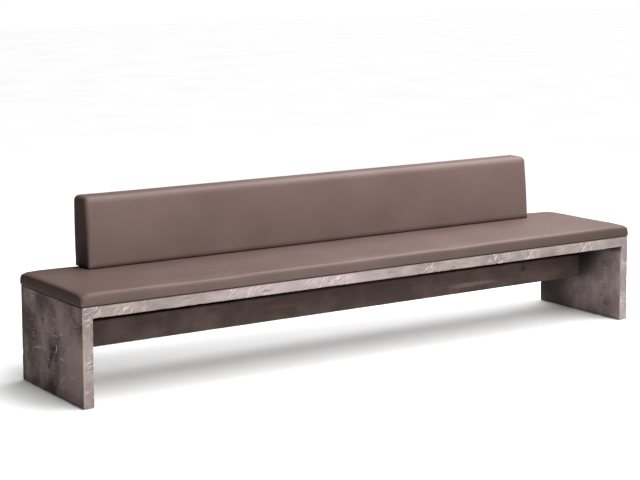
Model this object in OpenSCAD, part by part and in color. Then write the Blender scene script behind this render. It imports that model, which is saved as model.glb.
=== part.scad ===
// Upholstered banquette bench: a mitred oak board frame with a seat pad and a
// plug-on backrest pad. Lengths are in millimetres. X runs along the bench, the
// front faces -Y, +Z is up, and the origin is on the floor under the centre.

/* [Bench frame] */
// Length of the frame over its end panels
frame_length = 3000; // [2400:10:3400]
// Depth of the frame from front to back
frame_depth = 600; // [540:5:700]
// Height from the floor to the top of the seat board
frame_height = 420; // [380:5:480]
// Thickness of the seat board and of both end panels
board_thickness = 48; // [40:1:58]
// Width of the eased edges of the boards
arris = 1.5; // [0.5:0.5:3]

/* [Under-seat rail] */
// Height of the rail on edge
rail_height = 196; // [140:2:240]
// Thickness of the rail
rail_thickness = 40; // [32:1:50]
// Distance of the rail's front face behind the middle of the frame
rail_setback = 0; // [-60:5:60]

/* [Seat pad] */
// Height of the seat pad at its upper edge
seat_pad_height = 57; // [50:1:80]
// Extra height of the seat pad's crown in the middle
seat_pad_crown = 2; // [1:0.5:6]
// Distance from the edge at which the crown is reached
seat_pad_crown_reach = 150; // [80:5:200]
// How far the seat pad stands over each end panel
seat_pad_end_overhang = 6; // [2:1:15]
// How far the seat pad stands over the front and the back of the frame
seat_pad_front_overhang = 4; // [2:1:12]
// Radius of the upper edge of the seat pad
seat_pad_edge_radius = 20; // [12:1:28]
// Radius of the lower edge of both pads
pad_lower_radius = 5; // [3:0.5:8]
// Radius of the upright corners of the seat pad
seat_pad_corner_radius = 16; // [12:1:30]
// How far the sides of the seat pad swell at half height
seat_pad_bulge = 2; // [0.5:0.5:4]
// How far the sides of the seat pad are drawn in between the corners
seat_pad_draw_in = 3; // [0:0.5:5]
// Thickness of the plywood base of the seat pad
seat_base_thickness = 12; // [10:1:18]

/* [Backrest] */
// Distance from each end of the frame to the backrest
backrest_end_gap = 254; // [150:2:400]
// Height of the backrest pad
backrest_height = 312; // [262:2:420]
// Thickness of the backrest pad at its foot
backrest_thickness = 140; // [128:1:152]
// Distance from the rear edge of the seat pad to the foot of the backrest
backrest_rear_setback = 8; // [6:1:40]
// Lean of the front face of the backrest in degrees
backrest_front_lean = 5.5; // [4:0.5:8]
// Lean of the rear face of the backrest in degrees
backrest_rear_lean = 3; // [0:0.5:3.5]
// Radius of the upper edge of the backrest
backrest_edge_radius = 25; // [18:1:32]
// Radius of the upright corners of the backrest
backrest_corner_radius = 22; // [16:1:30]
// Radius of the upright corners at the foot of the backrest
backrest_foot_radius = 12; // [8:1:16]
// How far all sides of the backrest swell at half height
backrest_bulge = 2; // [0.5:0.5:4]
// Extra swell of the front and rear faces of the backrest
backrest_swell = 3; // [0:0.5:6]
// Extra height of the crown along the top of the backrest
backrest_crown = 2; // [1:0.5:5]
// Thickness of the plywood core of the backrest
core_thickness = 18; // [15:1:24]
// Thickness of the plywood base board of the backrest
backrest_base_thickness = 12; // [10:1:18]

/* [Covers] */
// Thickness of the leather
cover_thickness = 1.5; // [1.2:0.1:2]
// Width of leather turned under the seat pad
seat_turn_under = 45; // [30:1:60]
// Width of leather turned under the backrest
backrest_turn_under = 25; // [16:1:30]
// Thickness of the dust lining
lining_thickness = 0.8; // [0.5:0.1:1.1]

/* [Loose tenons] */
// Thickness of the loose tenons
tenon_thickness = 10; // [8:1:12]
// Width of the loose tenons
tenon_width = 60; // [40:2:80]
// Length of the loose tenons across the mitres
mitre_tenon_length = 36; // [24:2:40]
// Length of the loose tenons at the ends of the rail
rail_tenon_length = 50; // [40:2:60]
// Distance of the outer mitre tenons from the front and back edges
mitre_tenon_inset = 75; // [50:5:110]
// Distance of the rail tenons from the rail's upper and lower edges
rail_tenon_inset = 48; // [40:1:56]

/* [Rail angles] */
// Length of both legs of a steel angle behind the rail
angle_leg = 40; // [34:1:60]
// Length of a steel angle along the rail
angle_length = 60; // [50:1:100]
// Thickness of a steel angle
angle_thickness = 4; // [3:0.5:6]
// Length of the wood screws in the angles
angle_screw_length = 30; // [20:1:35]
// Diameter of all wood screws
screw_diameter = 4; // [3:0.5:5]

/* [Seat pad fixings] */
// Diameter of the seat pad bolts and of the post bolts
bolt_diameter = 8; // [6:1:8]
// Distance of the bolt rows from the front and back of the frame
bolt_row_inset = 90; // [80:5:130]
// Depth of the counterbore under the seat board
counterbore_depth = 12; // [11:0.5:16]
// Diameter of the washers under the bolt heads
washer_diameter = 24; // [18:1:26]
// Thickness of the washers
washer_thickness = 1.6; // [1:0.1:2.2]
// Diameter of the tee nut flanges
tee_flange_diameter = 22; // [18:1:26]
// Thickness of the tee nut flanges
tee_flange_thickness = 1.5; // [1:0.1:2]

/* [Backrest posts] */
// Width of a post
post_width = 40; // [30:1:50]
// Thickness of a post
post_thickness = 8; // [6:1:10]
// Height of the posts above the seat board
post_height = 290; // [230:5:300]
// Distance of the outer posts from the ends of the backrest
post_end_inset = 200; // [150:5:260]
// Size of a foot plate along the bench
foot_plate_length = 84; // [80:1:110]
// Size of a foot plate from front to back
foot_plate_depth = 100; // [84:1:110]
// Thickness of a foot plate
foot_plate_thickness = 6; // [5:0.5:8]
// Height of the weld beads at the foot of a post
weld_size = 3; // [2:0.5:4]
// Length of the threaded inserts in the seat board
insert_length = 22; // [16:1:26]
// Diameter of the threaded inserts
insert_diameter = 14; // [12:0.5:16]
// Height of a keeper strap
keeper_height = 30; // [20:1:40]
// Thickness of a keeper strap
keeper_thickness = 2; // [1.5:0.5:3]
// Width of each flange of a keeper strap
keeper_flange = 20; // [16:1:24]
// Length of the screws through the keeper flanges
keeper_screw_length = 16; // [12:1:17]
// Length of the screws from the base board into the core
base_screw_length = 50; // [40:1:60]

/* [Feet] */
// Diameter of a glide
glide_diameter = 30; // [22:1:36]
// Height of a glide under the end panel
glide_height = 3; // [2.5:0.5:6]
// Distance of the outer glides from the front and back edges
glide_inset = 45; // [30:1:70]
// Length of a glide nail
glide_nail_length = 22; // [16:1:30]
// Diameter of a glide nail
glide_nail_diameter = 2.5; // [2:0.25:3]

/* [Clearances] */
// Gap around loose tenons in their pockets
tenon_clearance = 0.2; // [0.1:0.05:0.4]
// Gap around screws, bolts, nails and inserts in their holes
fixing_clearance = 0.1; // [0.05:0.05:0.3]
// Gap around bolts that pass freely through wood
bolt_clearance = 0.8; // [0.4:0.1:1]
// Gap between foam and what it lies against
soft_clearance = 0.3; // [0.2:0.05:0.5]
// Gap between a post and what slides over it
post_clearance = 0.3; // [0.2:0.05:0.6]
// Gap around a post where it passes through the pads
slot_clearance = 5; // [5:0.5:8]

/* [Hidden] */
post_count = 4;
glides_per_panel = 3;
mitre_tenon_count = 4;

// Overrun of every cut past the face that it opens
overrun = 2;
// Segments drawn round a screw, bolt or nail
round_fn = 32;

// Levels, from the floor up
half_length = frame_length / 2;
half_depth = frame_depth / 2;
board_under = frame_height - board_thickness;
inner_half_length = half_length - board_thickness;
seat_pad_top = frame_height + seat_pad_height + seat_pad_crown;
backrest_foot = seat_pad_top + soft_clearance;
backrest_top = backrest_foot + backrest_height;

// Rail
rail_front_y = rail_setback;
rail_back_y = rail_front_y + rail_thickness;
rail_under = board_under - rail_height;

// Half sizes of the pads at their widest
seat_half_x = half_length + seat_pad_end_overhang;
seat_half_y = half_depth + seat_pad_front_overhang;
back_half_x = half_length - backrest_end_gap;
back_half_y = backrest_thickness / 2;

// Backrest faces at its foot, and the slab between them that holds the core
back_rear_y = seat_half_y - backrest_rear_setback;
back_front_y = back_rear_y - backrest_thickness;
core_lean_slope = (tan(backrest_front_lean) + tan(backrest_rear_lean)) / 2;
core_lean = atan(core_lean_slope);
core_half_slice = core_thickness / 2 / cos(core_lean);
core_margin = 35;
core_under = backrest_foot + cover_thickness + backrest_base_thickness;
core_top = backrest_top - core_margin;
core_half_x = back_half_x - core_margin;

// Room that foam keeps round the edges of the plywood
edge_wrap = 4;
seat_base_inset = seat_pad_bulge + seat_pad_draw_in + cover_thickness + soft_clearance + edge_wrap;
back_base_inset = backrest_bulge + cover_thickness + soft_clearance + edge_wrap;

// Places along the bench: posts, and the middles of the bays beside and between them
post_outer_x = back_half_x - post_end_inset;
post_xs = [for (i = [0:post_count - 1]) -post_outer_x + 2 * post_outer_x * i / (post_count - 1)];
bay_ends = concat([-inner_half_length], post_xs, [inner_half_length]);
bay_xs = [for (i = [0:post_count]) (bay_ends[i] + bay_ends[i + 1]) / 2];
core_bay_ends = concat([-core_half_x], post_xs, [core_half_x]);
core_bay_xs = [for (i = [0:post_count]) (core_bay_ends[i] + core_bay_ends[i + 1]) / 2];
bolt_rows = [-half_depth + bolt_row_inset, half_depth - bolt_row_inset];

// Bolts, screws and inserts
bolt_radius = bolt_diameter / 2;
bolt_head_radius = 1.6 * bolt_radius;
bolt_head_height = bolt_diameter;
screw_radius = screw_diameter / 2;
screw_head_radius = 2 * screw_radius;
screw_head_height = 1.2 * screw_radius;
washer_under = board_under + counterbore_depth - washer_thickness;
seat_base_under = frame_height + cover_thickness;
seat_base_top = seat_base_under + seat_base_thickness;
bolt_stop = 1;
bolt_top = seat_base_top - bolt_stop;
tee_barrel_wall = 1.2;
tee_barrel_radius = bolt_radius + fixing_clearance + tee_barrel_wall;
tee_barrel_length = seat_base_thickness - 2 * bolt_stop;

// Foot plates and post bolts
post_bolt_edge = 14;
post_bolt_xs = [-foot_plate_length / 2 + post_bolt_edge, foot_plate_length / 2 - post_bolt_edge];
post_bolt_ys = [-foot_plate_depth / 2 + post_bolt_edge, foot_plate_depth / 2 - post_bolt_edge];
plate_under = frame_height - foot_plate_thickness;
post_bolt_length = insert_length - bolt_stop + foot_plate_thickness;
countersink_radius = 2 * bolt_radius;
countersink_depth = bolt_radius;
post_mid_y = post_face_y(frame_height) + post_thickness / 2;

// Keeper straps: their places up the core, and the channel that foam leaves for them
keeper_margin = 30;
keeper_inner_half = post_width / 2 + post_clearance;
keeper_outer_half = keeper_inner_half + keeper_thickness;
keeper_half_length = keeper_outer_half + keeper_flange;
keeper_depth = post_clearance + post_thickness + post_clearance + keeper_thickness;
keeper_screw_x = keeper_outer_half + keeper_flange / 2;
post_top = frame_height + post_height;
keeper_zs = [core_under + keeper_margin, post_top - keeper_margin - keeper_height];

// Glides
glide_xs = [-half_length + board_thickness / 2, half_length - board_thickness / 2];
glide_ys = [
    for (i = [0:glides_per_panel - 1])
        -half_depth + glide_inset + (frame_depth - 2 * glide_inset) * i / (glides_per_panel - 1)
];
nail_head_radius = 1.6 * glide_nail_diameter;
nail_head_thickness = 0.4 * glide_nail_diameter;

// Loose tenons
mitre_tenon_ys = [
    for (i = [0:mitre_tenon_count - 1])
        -half_depth + mitre_tenon_inset
        + (frame_depth - 2 * mitre_tenon_inset) * i / (mitre_tenon_count - 1)
];
rail_tenon_zs = [rail_under + rail_tenon_inset, board_under - rail_tenon_inset];
rail_tenon_y = rail_front_y + rail_thickness / 2;

// Rail angles
angle_hole_shares = [-0.3, 0.3];
angle_hole_xs = [for (share = angle_hole_shares) share * angle_length];
angle_hole_reach = angle_thickness + (angle_leg - angle_thickness) / 2;
angle_slot_half = angle_leg / 8;

// Shape of the pads: points on each ring, and shares of the height and of the crown
corner_steps = 4;
ring_points = 4 * (corner_steps + 1) + 16;
station_shares = [0.2, 0.5, 1];
seat_side_shares = [0.25, 0.5, 0.75];
back_side_shares = [0.08, 0.25, 0.5, 0.75, 0.92];
inner_side_shares = [0.5];
inner_back_side_shares = [0.25, 0.5, 0.75];
crown_shares = [1 / 3, 2 / 3, 1];
inner_crown_shares = [0.5, 1];
crown_corner_growth = 0.6;
back_crown_reach = backrest_edge_radius + back_half_y / 4;

/*
Pads. A pad is a chain of level rings. Each ring is a rectangle with round
corners, whose sides may be drawn in or swell between the corners.
*/

// How much of a swell is reached at a distance along a side of a given length
function swell_share(along, length, reach) = 1 - pow(1 - min(1, min(along, length - along) / reach), 2);

// Distances along a long side at which a ring has points
function stations(length, reach) = concat(
    [for (share = station_shares) share * reach],
    [length / 2],
    [for (i = [len(station_shares) - 1:-1:0]) length - station_shares[i] * reach]
);

function corner_arc(centre_x, centre_y, radius, start) = [
    for (i = [0:corner_steps])
        let (angle = start + 90 * i / corner_steps)
        [centre_x + radius * cos(angle), centre_y + radius * sin(angle)]
];

// One ring, from the middle of its left side and anticlockwise as seen from above
function ring(half_x, half_y, radius, swell_x, swell_y, reach) =
    let (
        length = 2 * (half_x - radius),
        side = [for (along = stations(length, reach)) [along, swell_y * swell_share(along, length, reach)]]
    )
    concat(
        [[-half_x - swell_x, 0]],
        corner_arc(-half_x + radius, -half_y + radius, radius, 180),
        [for (p = side) [-half_x + radius + p[0], -half_y - p[1]]],
        corner_arc(half_x - radius, -half_y + radius, radius, 270),
        [[half_x + swell_x, 0]],
        corner_arc(half_x - radius, half_y - radius, radius, 0),
        [for (p = side) [half_x - radius - p[0], half_y + p[1]]],
        corner_arc(-half_x + radius, half_y - radius, radius, 90)
    );

// Points of a quarter circle of the profile as [inset, height, share that faces sideways]
function profile_arc(centre_inset, centre_z, radius, start, steps) = [
    for (i = [0:steps])
        let (angle = start + 90 * i / steps)
        [centre_inset - radius * cos(angle), centre_z + radius * sin(angle), cos(angle)]
];

// Profile of a pad's side from its foot to the top of its crown, at a depth under the surface
function pad_profile(height, edge, bulge, crown, reach, depth, arc_steps, side_shares, top_shares) =
    let (side_height = height - edge - pad_lower_radius)
    concat(
        profile_arc(bulge + pad_lower_radius, pad_lower_radius, pad_lower_radius - depth, -90, arc_steps / 2),
        [
            for (share = side_shares)
                [depth + bulge * (1 - sin(180 * share)), pad_lower_radius + side_height * share, 1]
        ],
        profile_arc(bulge + edge, height - edge, edge - depth, 0, arc_steps),
        [
            for (share = top_shares)
                [bulge + edge + (reach - edge) * share, height + crown * (1 - pow(1 - share, 2)) - depth, 0]
        ]
    );

// Level rings of the seat pad for a profile
function seat_rings(profile, depth) = [
    for (p = profile)
        let (
            grown = crown_corner_growth * max(0, p[0] - seat_pad_bulge - seat_pad_edge_radius),
            radius = seat_pad_corner_radius - depth * p[2] + grown
        )
        [
            for (q = ring(
                seat_half_x - p[0], seat_half_y - p[0], radius,
                -seat_pad_draw_in, -seat_pad_draw_in, seat_pad_crown_reach
            ))
                [q[0], q[1], frame_height + p[1]]
        ]
];

// Front and rear faces of the backrest at a height above its foot
function back_front_at(z) = back_front_y + z * tan(backrest_front_lean);
function back_rear_at(z) = back_rear_y + z * tan(backrest_rear_lean);

// Level rings of the backrest for a profile, leaned back and drawn thinner towards the top
function back_rings(profile, depth) = [
    for (p = profile)
        let (
            share = p[1] / backrest_height,
            rise = min(1, 4 * share),
            radius = backrest_foot_radius + (backrest_corner_radius - backrest_foot_radius) * rise - depth * p[2],
            swell = backrest_swell * max(0, sin(180 * min(1, share)))
        )
        [
            for (q = ring(back_half_x - p[0], back_half_y - p[0], radius, 0, swell, seat_pad_crown_reach))
                let (across = (q[1] + back_half_y) / backrest_thickness)
                [
                    q[0],
                    back_front_at(p[1]) + across * (back_rear_at(p[1]) - back_front_at(p[1])),
                    backrest_foot + p[1]
                ]
        ]
];

function seat_profile(depth, arc_steps, side_shares, top_shares) = pad_profile(
    seat_pad_height, seat_pad_edge_radius, seat_pad_bulge, seat_pad_crown, seat_pad_crown_reach,
    depth, arc_steps, side_shares, top_shares
);

function back_profile(depth, arc_steps, side_shares, top_shares) = pad_profile(
    backrest_height, backrest_edge_radius, backrest_bulge, backrest_crown, back_crown_reach,
    depth, arc_steps, side_shares, top_shares
);

function reversed(list) = [for (i = [len(list) - 1:-1:0]) list[i]];

function flattened(lists) = [for (list = lists) for (item = list) item];

// Triangles across one ring: a fan at each end, and strips between its front and its rear
function cap_faces(first) =
    let (half = ring_points / 2, last = ring_points)
    [
        for (face = concat(
            [[0, 1, 2], [0, 2, last - 2], [0, last - 2, last - 1]],
            [for (i = [2:half - 3]) [i, i + 1, last - i - 1]],
            [for (i = [2:half - 3]) [i, last - i - 1, last - i]],
            [[half - 2, half - 1, half], [half - 2, half, half + 2], [half, half + 1, half + 2]]
        ))
            [for (i = face) first + i]
    ];

// Triangles between each ring of a chain and the next
function band_faces(ring_count) = flattened([
    for (k = [0:ring_count - 2]) for (i = [0:ring_points - 1])
        let (
            next = (i + 1) % ring_points,
            low = k * ring_points,
            high = low + ring_points
        )
        [[low + i, high + i, high + next], [low + i, high + next, low + next]]
]);

module ring_chain(rings) {
    polyhedron(
        points = flattened(rings),
        faces = concat(
            cap_faces(0),
            band_faces(len(rings)),
            [for (face = cap_faces((len(rings) - 1) * ring_points)) reversed(face)]
        )
    );
}

/*
Small building blocks
*/

module extrude_x(length) {
    rotate([90, 0, 90])
        linear_extrude(length, center = true)
            children();
}

module extrude_y(length) {
    rotate([90, 0, 0])
        linear_extrude(length, center = true)
            children();
}

// Rectangle with cut corners, from its lowest corner
module eased_rectangle(width, height) {
    polygon([
        [arris, 0], [width - arris, 0], [width, arris], [width, height - arris],
        [width - arris, height], [arris, height], [0, height - arris], [0, arris]
    ]);
}

module stadium(width, thickness) {
    square([width - thickness, thickness], center = true);
    for (side = [-1, 1])
        translate([side * (width - thickness) / 2, 0])
            circle(d = thickness, $fn = round_fn);
}

// Loose tenon: its length along X, its width along Y
module loose_tenon(length, grown = 0) {
    extrude_x(length + 2 * grown)
        stadium(tenon_width + 2 * grown, tenon_thickness + 2 * grown);
}

module mitre_tenon(y, grown = 0) {
    translate([-half_length + board_thickness / 2, y, frame_height - board_thickness / 2])
        rotate([0, -45, 0])
            loose_tenon(mitre_tenon_length, grown);
}

module mitre_tenon_set(grown = 0) {
    for (y = mitre_tenon_ys)
        mitre_tenon(y, grown);
}

module rail_tenon_set(grown = 0) {
    for (z = rail_tenon_zs)
        translate([-inner_half_length, rail_tenon_y, z])
            rotate([90, 0, 0])
                loose_tenon(rail_tenon_length, grown);
}

// Pan-head wood screw that points up, with the seat of its head at zero
module pan_screw(length, grown = 0) {
    if (grown == 0)
        translate([0, 0, -screw_head_height])
            cylinder(h = screw_head_height, r = screw_head_radius, $fn = round_fn);
    screw_shank(length, grown);
}

module screw_shank(length, grown) {
    point = 2 * screw_radius;
    cylinder(h = length - point + grown, r = screw_radius + grown, $fn = round_fn);
    translate([0, 0, length - point + grown])
        cylinder(h = point, r1 = screw_radius + grown, r2 = (screw_radius + grown) / 4, $fn = round_fn);
}

// Countersunk screw that points up, with the top of its head at zero
module flat_screw(length, grown = 0) {
    cylinder(
        h = screw_head_height, r1 = screw_head_radius + grown, r2 = screw_radius + grown, $fn = round_fn
    );
    screw_shank(length, grown);
}

module bored(radius, height) {
    cylinder(h = height, r = radius, $fn = round_fn);
}

/*
Frame
*/

module seat_board_blank() {
    intersection() {
        extrude_y(frame_depth)
            polygon([
                [-half_length + arris, frame_height],
                [-half_length + arris / 2, frame_height - arris / 2],
                [-inner_half_length, board_under],
                [inner_half_length, board_under],
                [half_length - arris / 2, frame_height - arris / 2],
                [half_length - arris, frame_height]
            ]);
        translate([0, -half_depth, board_under])
            extrude_x(frame_length)
                eased_rectangle(frame_depth, board_thickness);
    }
}

module seat_board() {
    color("#9c8c85")
        difference() {
            seat_board_blank();
            mitre_tenon_set(tenon_clearance);
            mirror([1, 0, 0])
                mitre_tenon_set(tenon_clearance);
            for (x = post_xs)
                foot_plate_recess(x);
            for (x = bay_xs) {
                for (y = bolt_rows)
                    seat_bolt_hole(x, y);
                rail_angle_at(x)
                    board_screw_places()
                        pan_screw(angle_screw_length, fixing_clearance);
            }
        }
}

module foot_plate_recess(x) {
    translate([
        x - foot_plate_length / 2 - post_clearance,
        post_mid_y - foot_plate_depth / 2 - post_clearance,
        plate_under
    ])
        cube([
            foot_plate_length + 2 * post_clearance,
            foot_plate_depth + 2 * post_clearance,
            foot_plate_thickness + overrun
        ]);
    at_post_bolts(x)
        translate([0, 0, -insert_length - bolt_stop])
            bored(insert_diameter / 2 + fixing_clearance, insert_length + bolt_stop + overrun);
}

module seat_bolt_hole(x, y) {
    translate([x, y, board_under - overrun])
        bored(washer_diameter / 2 + bolt_clearance, counterbore_depth + overrun);
    translate([x, y, board_under])
        bored(bolt_radius + bolt_clearance, board_thickness + overrun);
}

module end_panel_blank() {
    intersection() {
        extrude_y(frame_depth)
            polygon([
                [-half_length, glide_height],
                [-half_length, frame_height - arris],
                [-half_length + arris / 2, frame_height - arris / 2],
                [-inner_half_length, board_under],
                [-inner_half_length, glide_height]
            ]);
        translate([-half_length, -half_depth, 0])
            linear_extrude(frame_height)
                eased_rectangle(board_thickness, frame_depth);
    }
}

module end_panel() {
    difference() {
        end_panel_blank();
        mitre_tenon_set(tenon_clearance);
        rail_tenon_set(tenon_clearance);
        for (y = glide_ys)
            translate([glide_xs[0], y, glide_height - overrun])
                bored(
                    glide_nail_diameter / 2 + fixing_clearance,
                    glide_nail_length + overrun
                );
    }
}

module left_end_panel() {
    color("#6b605c")
        end_panel();
}

module right_end_panel() {
    color("#756a65")
        mirror([1, 0, 0])
            end_panel();
}

module under_seat_rail() {
    color("#54463f")
        difference() {
            extrude_x(2 * inner_half_length)
                polygon([
                    [rail_front_y, board_under],
                    [rail_front_y, rail_under + arris],
                    [rail_front_y + arris, rail_under],
                    [rail_back_y - arris, rail_under],
                    [rail_back_y, rail_under + arris],
                    [rail_back_y, board_under]
                ]);
            rail_tenon_set(tenon_clearance);
            mirror([1, 0, 0])
                rail_tenon_set(tenon_clearance);
            for (x = bay_xs)
                rail_angle_at(x)
                    rail_screw_places()
                        pan_screw(angle_screw_length, fixing_clearance);
        }
}

module left_mitre_tenons() {
    color("#b79a72")
        mitre_tenon_set();
}

module right_mitre_tenons() {
    color("#b79a72")
        mirror([1, 0, 0])
            mitre_tenon_set();
}

module left_rail_tenons() {
    color("#b79a72")
        rail_tenon_set();
}

module right_rail_tenons() {
    color("#b79a72")
        mirror([1, 0, 0])
            rail_tenon_set();
}

/*
Steel angles behind the rail
*/

// Frame of one angle: its inner corner where the rail meets the seat board
module rail_angle_at(x) {
    translate([x, rail_back_y, board_under])
        children();
}

// Screws up into the seat board, heads under the level leg
module board_screw_places() {
    for (x = angle_hole_xs)
        translate([x, angle_hole_reach, -angle_thickness])
            children();
}

// Screws forward into the rail, heads behind the upright leg
module rail_screw_places() {
    for (x = angle_hole_xs)
        translate([x, angle_thickness, -angle_hole_reach])
            rotate([90, 0, 0])
                children();
}

module angle_slot() {
    for (end = [-angle_slot_half, angle_slot_half])
        translate([0, end, -overrun])
            bored(screw_radius + fixing_clearance, angle_thickness + 2 * overrun);
    translate([-screw_radius - fixing_clearance, -angle_slot_half, -overrun])
        cube([2 * (screw_radius + fixing_clearance), 2 * angle_slot_half, angle_thickness + 2 * overrun]);
}

module rail_angle() {
    difference() {
        extrude_x(angle_length)
            polygon([
                [0, 0], [angle_leg, 0], [angle_leg, -angle_thickness],
                [angle_thickness, -angle_thickness], [angle_thickness, -angle_leg], [0, -angle_leg]
            ]);
        board_screw_places()
            angle_slot();
        rail_screw_places()
            translate([0, 0, -overrun])
                bored(screw_radius + fixing_clearance, angle_thickness + 2 * overrun);
    }
}

module rail_angles() {
    color("#8d9095")
        for (x = bay_xs)
            rail_angle_at(x)
                rail_angle();
}

module rail_angle_screws() {
    color("#b9bcc0")
        for (x = bay_xs)
            rail_angle_at(x) {
                board_screw_places()
                    pan_screw(angle_screw_length);
                rail_screw_places()
                    pan_screw(angle_screw_length);
            }
}

/*
Seat pad
*/

// Slanting passage for a post between two levels, grown sideways by a clearance
module post_passage(low, high, grown) {
    slant = grown / cos(core_lean);
    for (x = post_xs)
        translate([x, 0, 0])
            extrude_x(post_width + 2 * grown)
                polygon([
                    [post_face_y(low) - slant, low],
                    [post_back_y(low) + slant, low],
                    [post_back_y(high) + slant, high],
                    [post_face_y(high) - slant, high]
                ]);
}

module seat_post_passage() {
    post_passage(frame_height - overrun, seat_pad_top + overrun, slot_clearance);
}

module seat_base_blank(grown = 0) {
    translate([
        -seat_half_x + seat_base_inset - grown,
        -seat_half_y + seat_base_inset - grown,
        seat_base_under - grown
    ])
        cube([
            2 * (seat_half_x - seat_base_inset + grown),
            2 * (seat_half_y - seat_base_inset + grown),
            seat_base_thickness + 2 * grown
        ]);
}

module at_seat_bolts(z) {
    for (x = bay_xs)
        for (y = bolt_rows)
            translate([x, y, z])
                children();
}

module seat_pad_base() {
    color("#c9ab7c")
        difference() {
            seat_base_blank();
            seat_post_passage();
            at_seat_bolts(seat_base_under - overrun)
                bored(tee_barrel_radius + fixing_clearance, seat_base_thickness + 2 * overrun);
            at_seat_bolts(seat_base_top - tee_flange_thickness)
                bored(tee_flange_diameter / 2 + fixing_clearance, tee_flange_thickness + overrun);
        }
}

module seat_pad_foam() {
    depth = cover_thickness + soft_clearance;
    color("#e7dfc6")
        difference() {
            ring_chain(seat_rings(seat_profile(depth, 2, inner_side_shares, inner_crown_shares), depth));
            seat_base_blank(soft_clearance);
            seat_post_passage();
        }
}

module seat_pad_cover() {
    inner = seat_profile(cover_thickness, 2, inner_side_shares, inner_crown_shares);
    outer = seat_profile(0, 4, seat_side_shares, crown_shares);
    opening = seat_pad_bulge + seat_turn_under;
    rings = concat(
        seat_rings(reversed(inner), cover_thickness),
        seat_edge_rings(opening),
        seat_rings(outer, 0)
    );
    color("#84736d")
        difference() {
            ring_chain(rings);
            seat_post_passage();
        }
}

// The two rings at the turned-under edge of the seat cover
function seat_edge_rings(opening) = [
    for (z = [cover_thickness, 0])
        [
            for (q = ring(
                seat_half_x - opening, seat_half_y - opening, seat_pad_corner_radius,
                -seat_pad_draw_in, -seat_pad_draw_in, seat_pad_crown_reach
            ))
                [q[0], q[1], frame_height + z]
        ]
];

module seat_pad_lining() {
    inset = seat_pad_bulge + seat_turn_under + soft_clearance;
    color("#2f2d2c")
        difference() {
            translate([0, 0, seat_base_under - lining_thickness])
                linear_extrude(lining_thickness)
                    polygon(ring(
                        seat_half_x - inset, seat_half_y - inset, seat_pad_corner_radius - soft_clearance,
                        -seat_pad_draw_in, -seat_pad_draw_in, seat_pad_crown_reach
                    ));
            seat_post_passage();
            at_seat_bolts(frame_height)
                bored(tee_barrel_radius + fixing_clearance, seat_base_thickness);
        }
}

module seat_pad_tee_nuts() {
    color("#b9bcc0")
        at_seat_bolts(seat_base_top - tee_flange_thickness)
            difference() {
                union() {
                    bored(tee_flange_diameter / 2, tee_flange_thickness);
                    translate([0, 0, tee_flange_thickness - tee_barrel_length])
                        bored(tee_barrel_radius, tee_barrel_length);
                }
                translate([0, 0, -tee_barrel_length])
                    bored(bolt_radius + fixing_clearance, 2 * tee_barrel_length);
            }
}

module seat_pad_bolts() {
    color("#a7aaae")
        at_seat_bolts(washer_under) {
            bored(bolt_radius, bolt_top - washer_under);
            translate([0, 0, -bolt_head_height])
                difference() {
                    bored(bolt_head_radius, bolt_head_height);
                    translate([0, 0, -overrun])
                        cylinder(h = bolt_head_height / 2 + overrun, r = 0.86 * bolt_radius, $fn = 6);
                }
        }
}

module seat_pad_washers() {
    color("#c5c8cb")
        at_seat_bolts(washer_under)
            difference() {
                bored(washer_diameter / 2, washer_thickness);
                translate([0, 0, -overrun])
                    bored(bolt_radius + fixing_clearance, washer_thickness + 2 * overrun);
            }
}

/*
Posts that carry the backrest
*/

// Middle of the core, and the front and back faces of the posts, at a level
function core_mid_y(z) = (back_front_y + back_rear_y) / 2 + (z - backrest_foot) * core_lean_slope;
function core_rear_y(z) = core_mid_y(z) + core_half_slice;
function post_face_y(z) = core_rear_y(z) + post_clearance / cos(core_lean);
function post_back_y(z) = post_face_y(z) + post_thickness / cos(core_lean);

module at_post_bolts(x) {
    for (dx = post_bolt_xs)
        for (dy = post_bolt_ys)
            translate([x + dx, post_mid_y + dy, plate_under])
                children();
}

module countersunk_post_bolt(grown = 0) {
    translate([0, 0, foot_plate_thickness - countersink_depth])
        cylinder(
            h = countersink_depth, r1 = bolt_radius + grown, r2 = countersink_radius + grown, $fn = round_fn
        );
    translate([0, 0, foot_plate_thickness - post_bolt_length])
        bored(bolt_radius + grown, post_bolt_length - countersink_depth);
}

module weld_bead(y, direction) {
    translate([0, y, frame_height])
        extrude_x(post_width)
            polygon([[0, 0], [direction * weld_size, 0], [0, weld_size]]);
}

module back_post(x) {
    color("#4c4e51")
        difference() {
            union() {
                translate([x - foot_plate_length / 2, post_mid_y - foot_plate_depth / 2, plate_under])
                    cube([foot_plate_length, foot_plate_depth, foot_plate_thickness]);
                translate([x, 0, 0]) {
                    extrude_x(post_width)
                        polygon([
                            [post_face_y(frame_height), frame_height],
                            [post_back_y(frame_height), frame_height],
                            [post_back_y(post_top), post_top],
                            [post_face_y(post_top), post_top]
                        ]);
                    weld_bead(post_face_y(frame_height), -1);
                    weld_bead(post_back_y(frame_height), 1);
                }
            }
            at_post_bolts(x)
                countersunk_post_bolt(fixing_clearance);
        }
}

module post_bolts() {
    color("#b9bcc0")
        for (x = post_xs)
            at_post_bolts(x)
                countersunk_post_bolt();
}

module post_inserts() {
    color("#c2a45a")
        for (x = post_xs)
            at_post_bolts(x)
                translate([0, 0, -insert_length])
                    difference() {
                        bored(insert_diameter / 2, insert_length);
                        translate([0, 0, -overrun])
                            bored(bolt_radius + fixing_clearance, insert_length + 2 * overrun);
                    }
}

/*
Keepers on the back of the core
*/

// Frame on the back face of the core: X along the bench, Y out of the face, Z up the face
module on_core_rear(x, z) {
    translate([x, core_rear_y(z), z])
        rotate([-core_lean, 0, 0])
            children();
}

module keeper_places() {
    for (x = post_xs)
        for (z = keeper_zs)
            on_core_rear(x, z)
                children();
}

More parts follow.
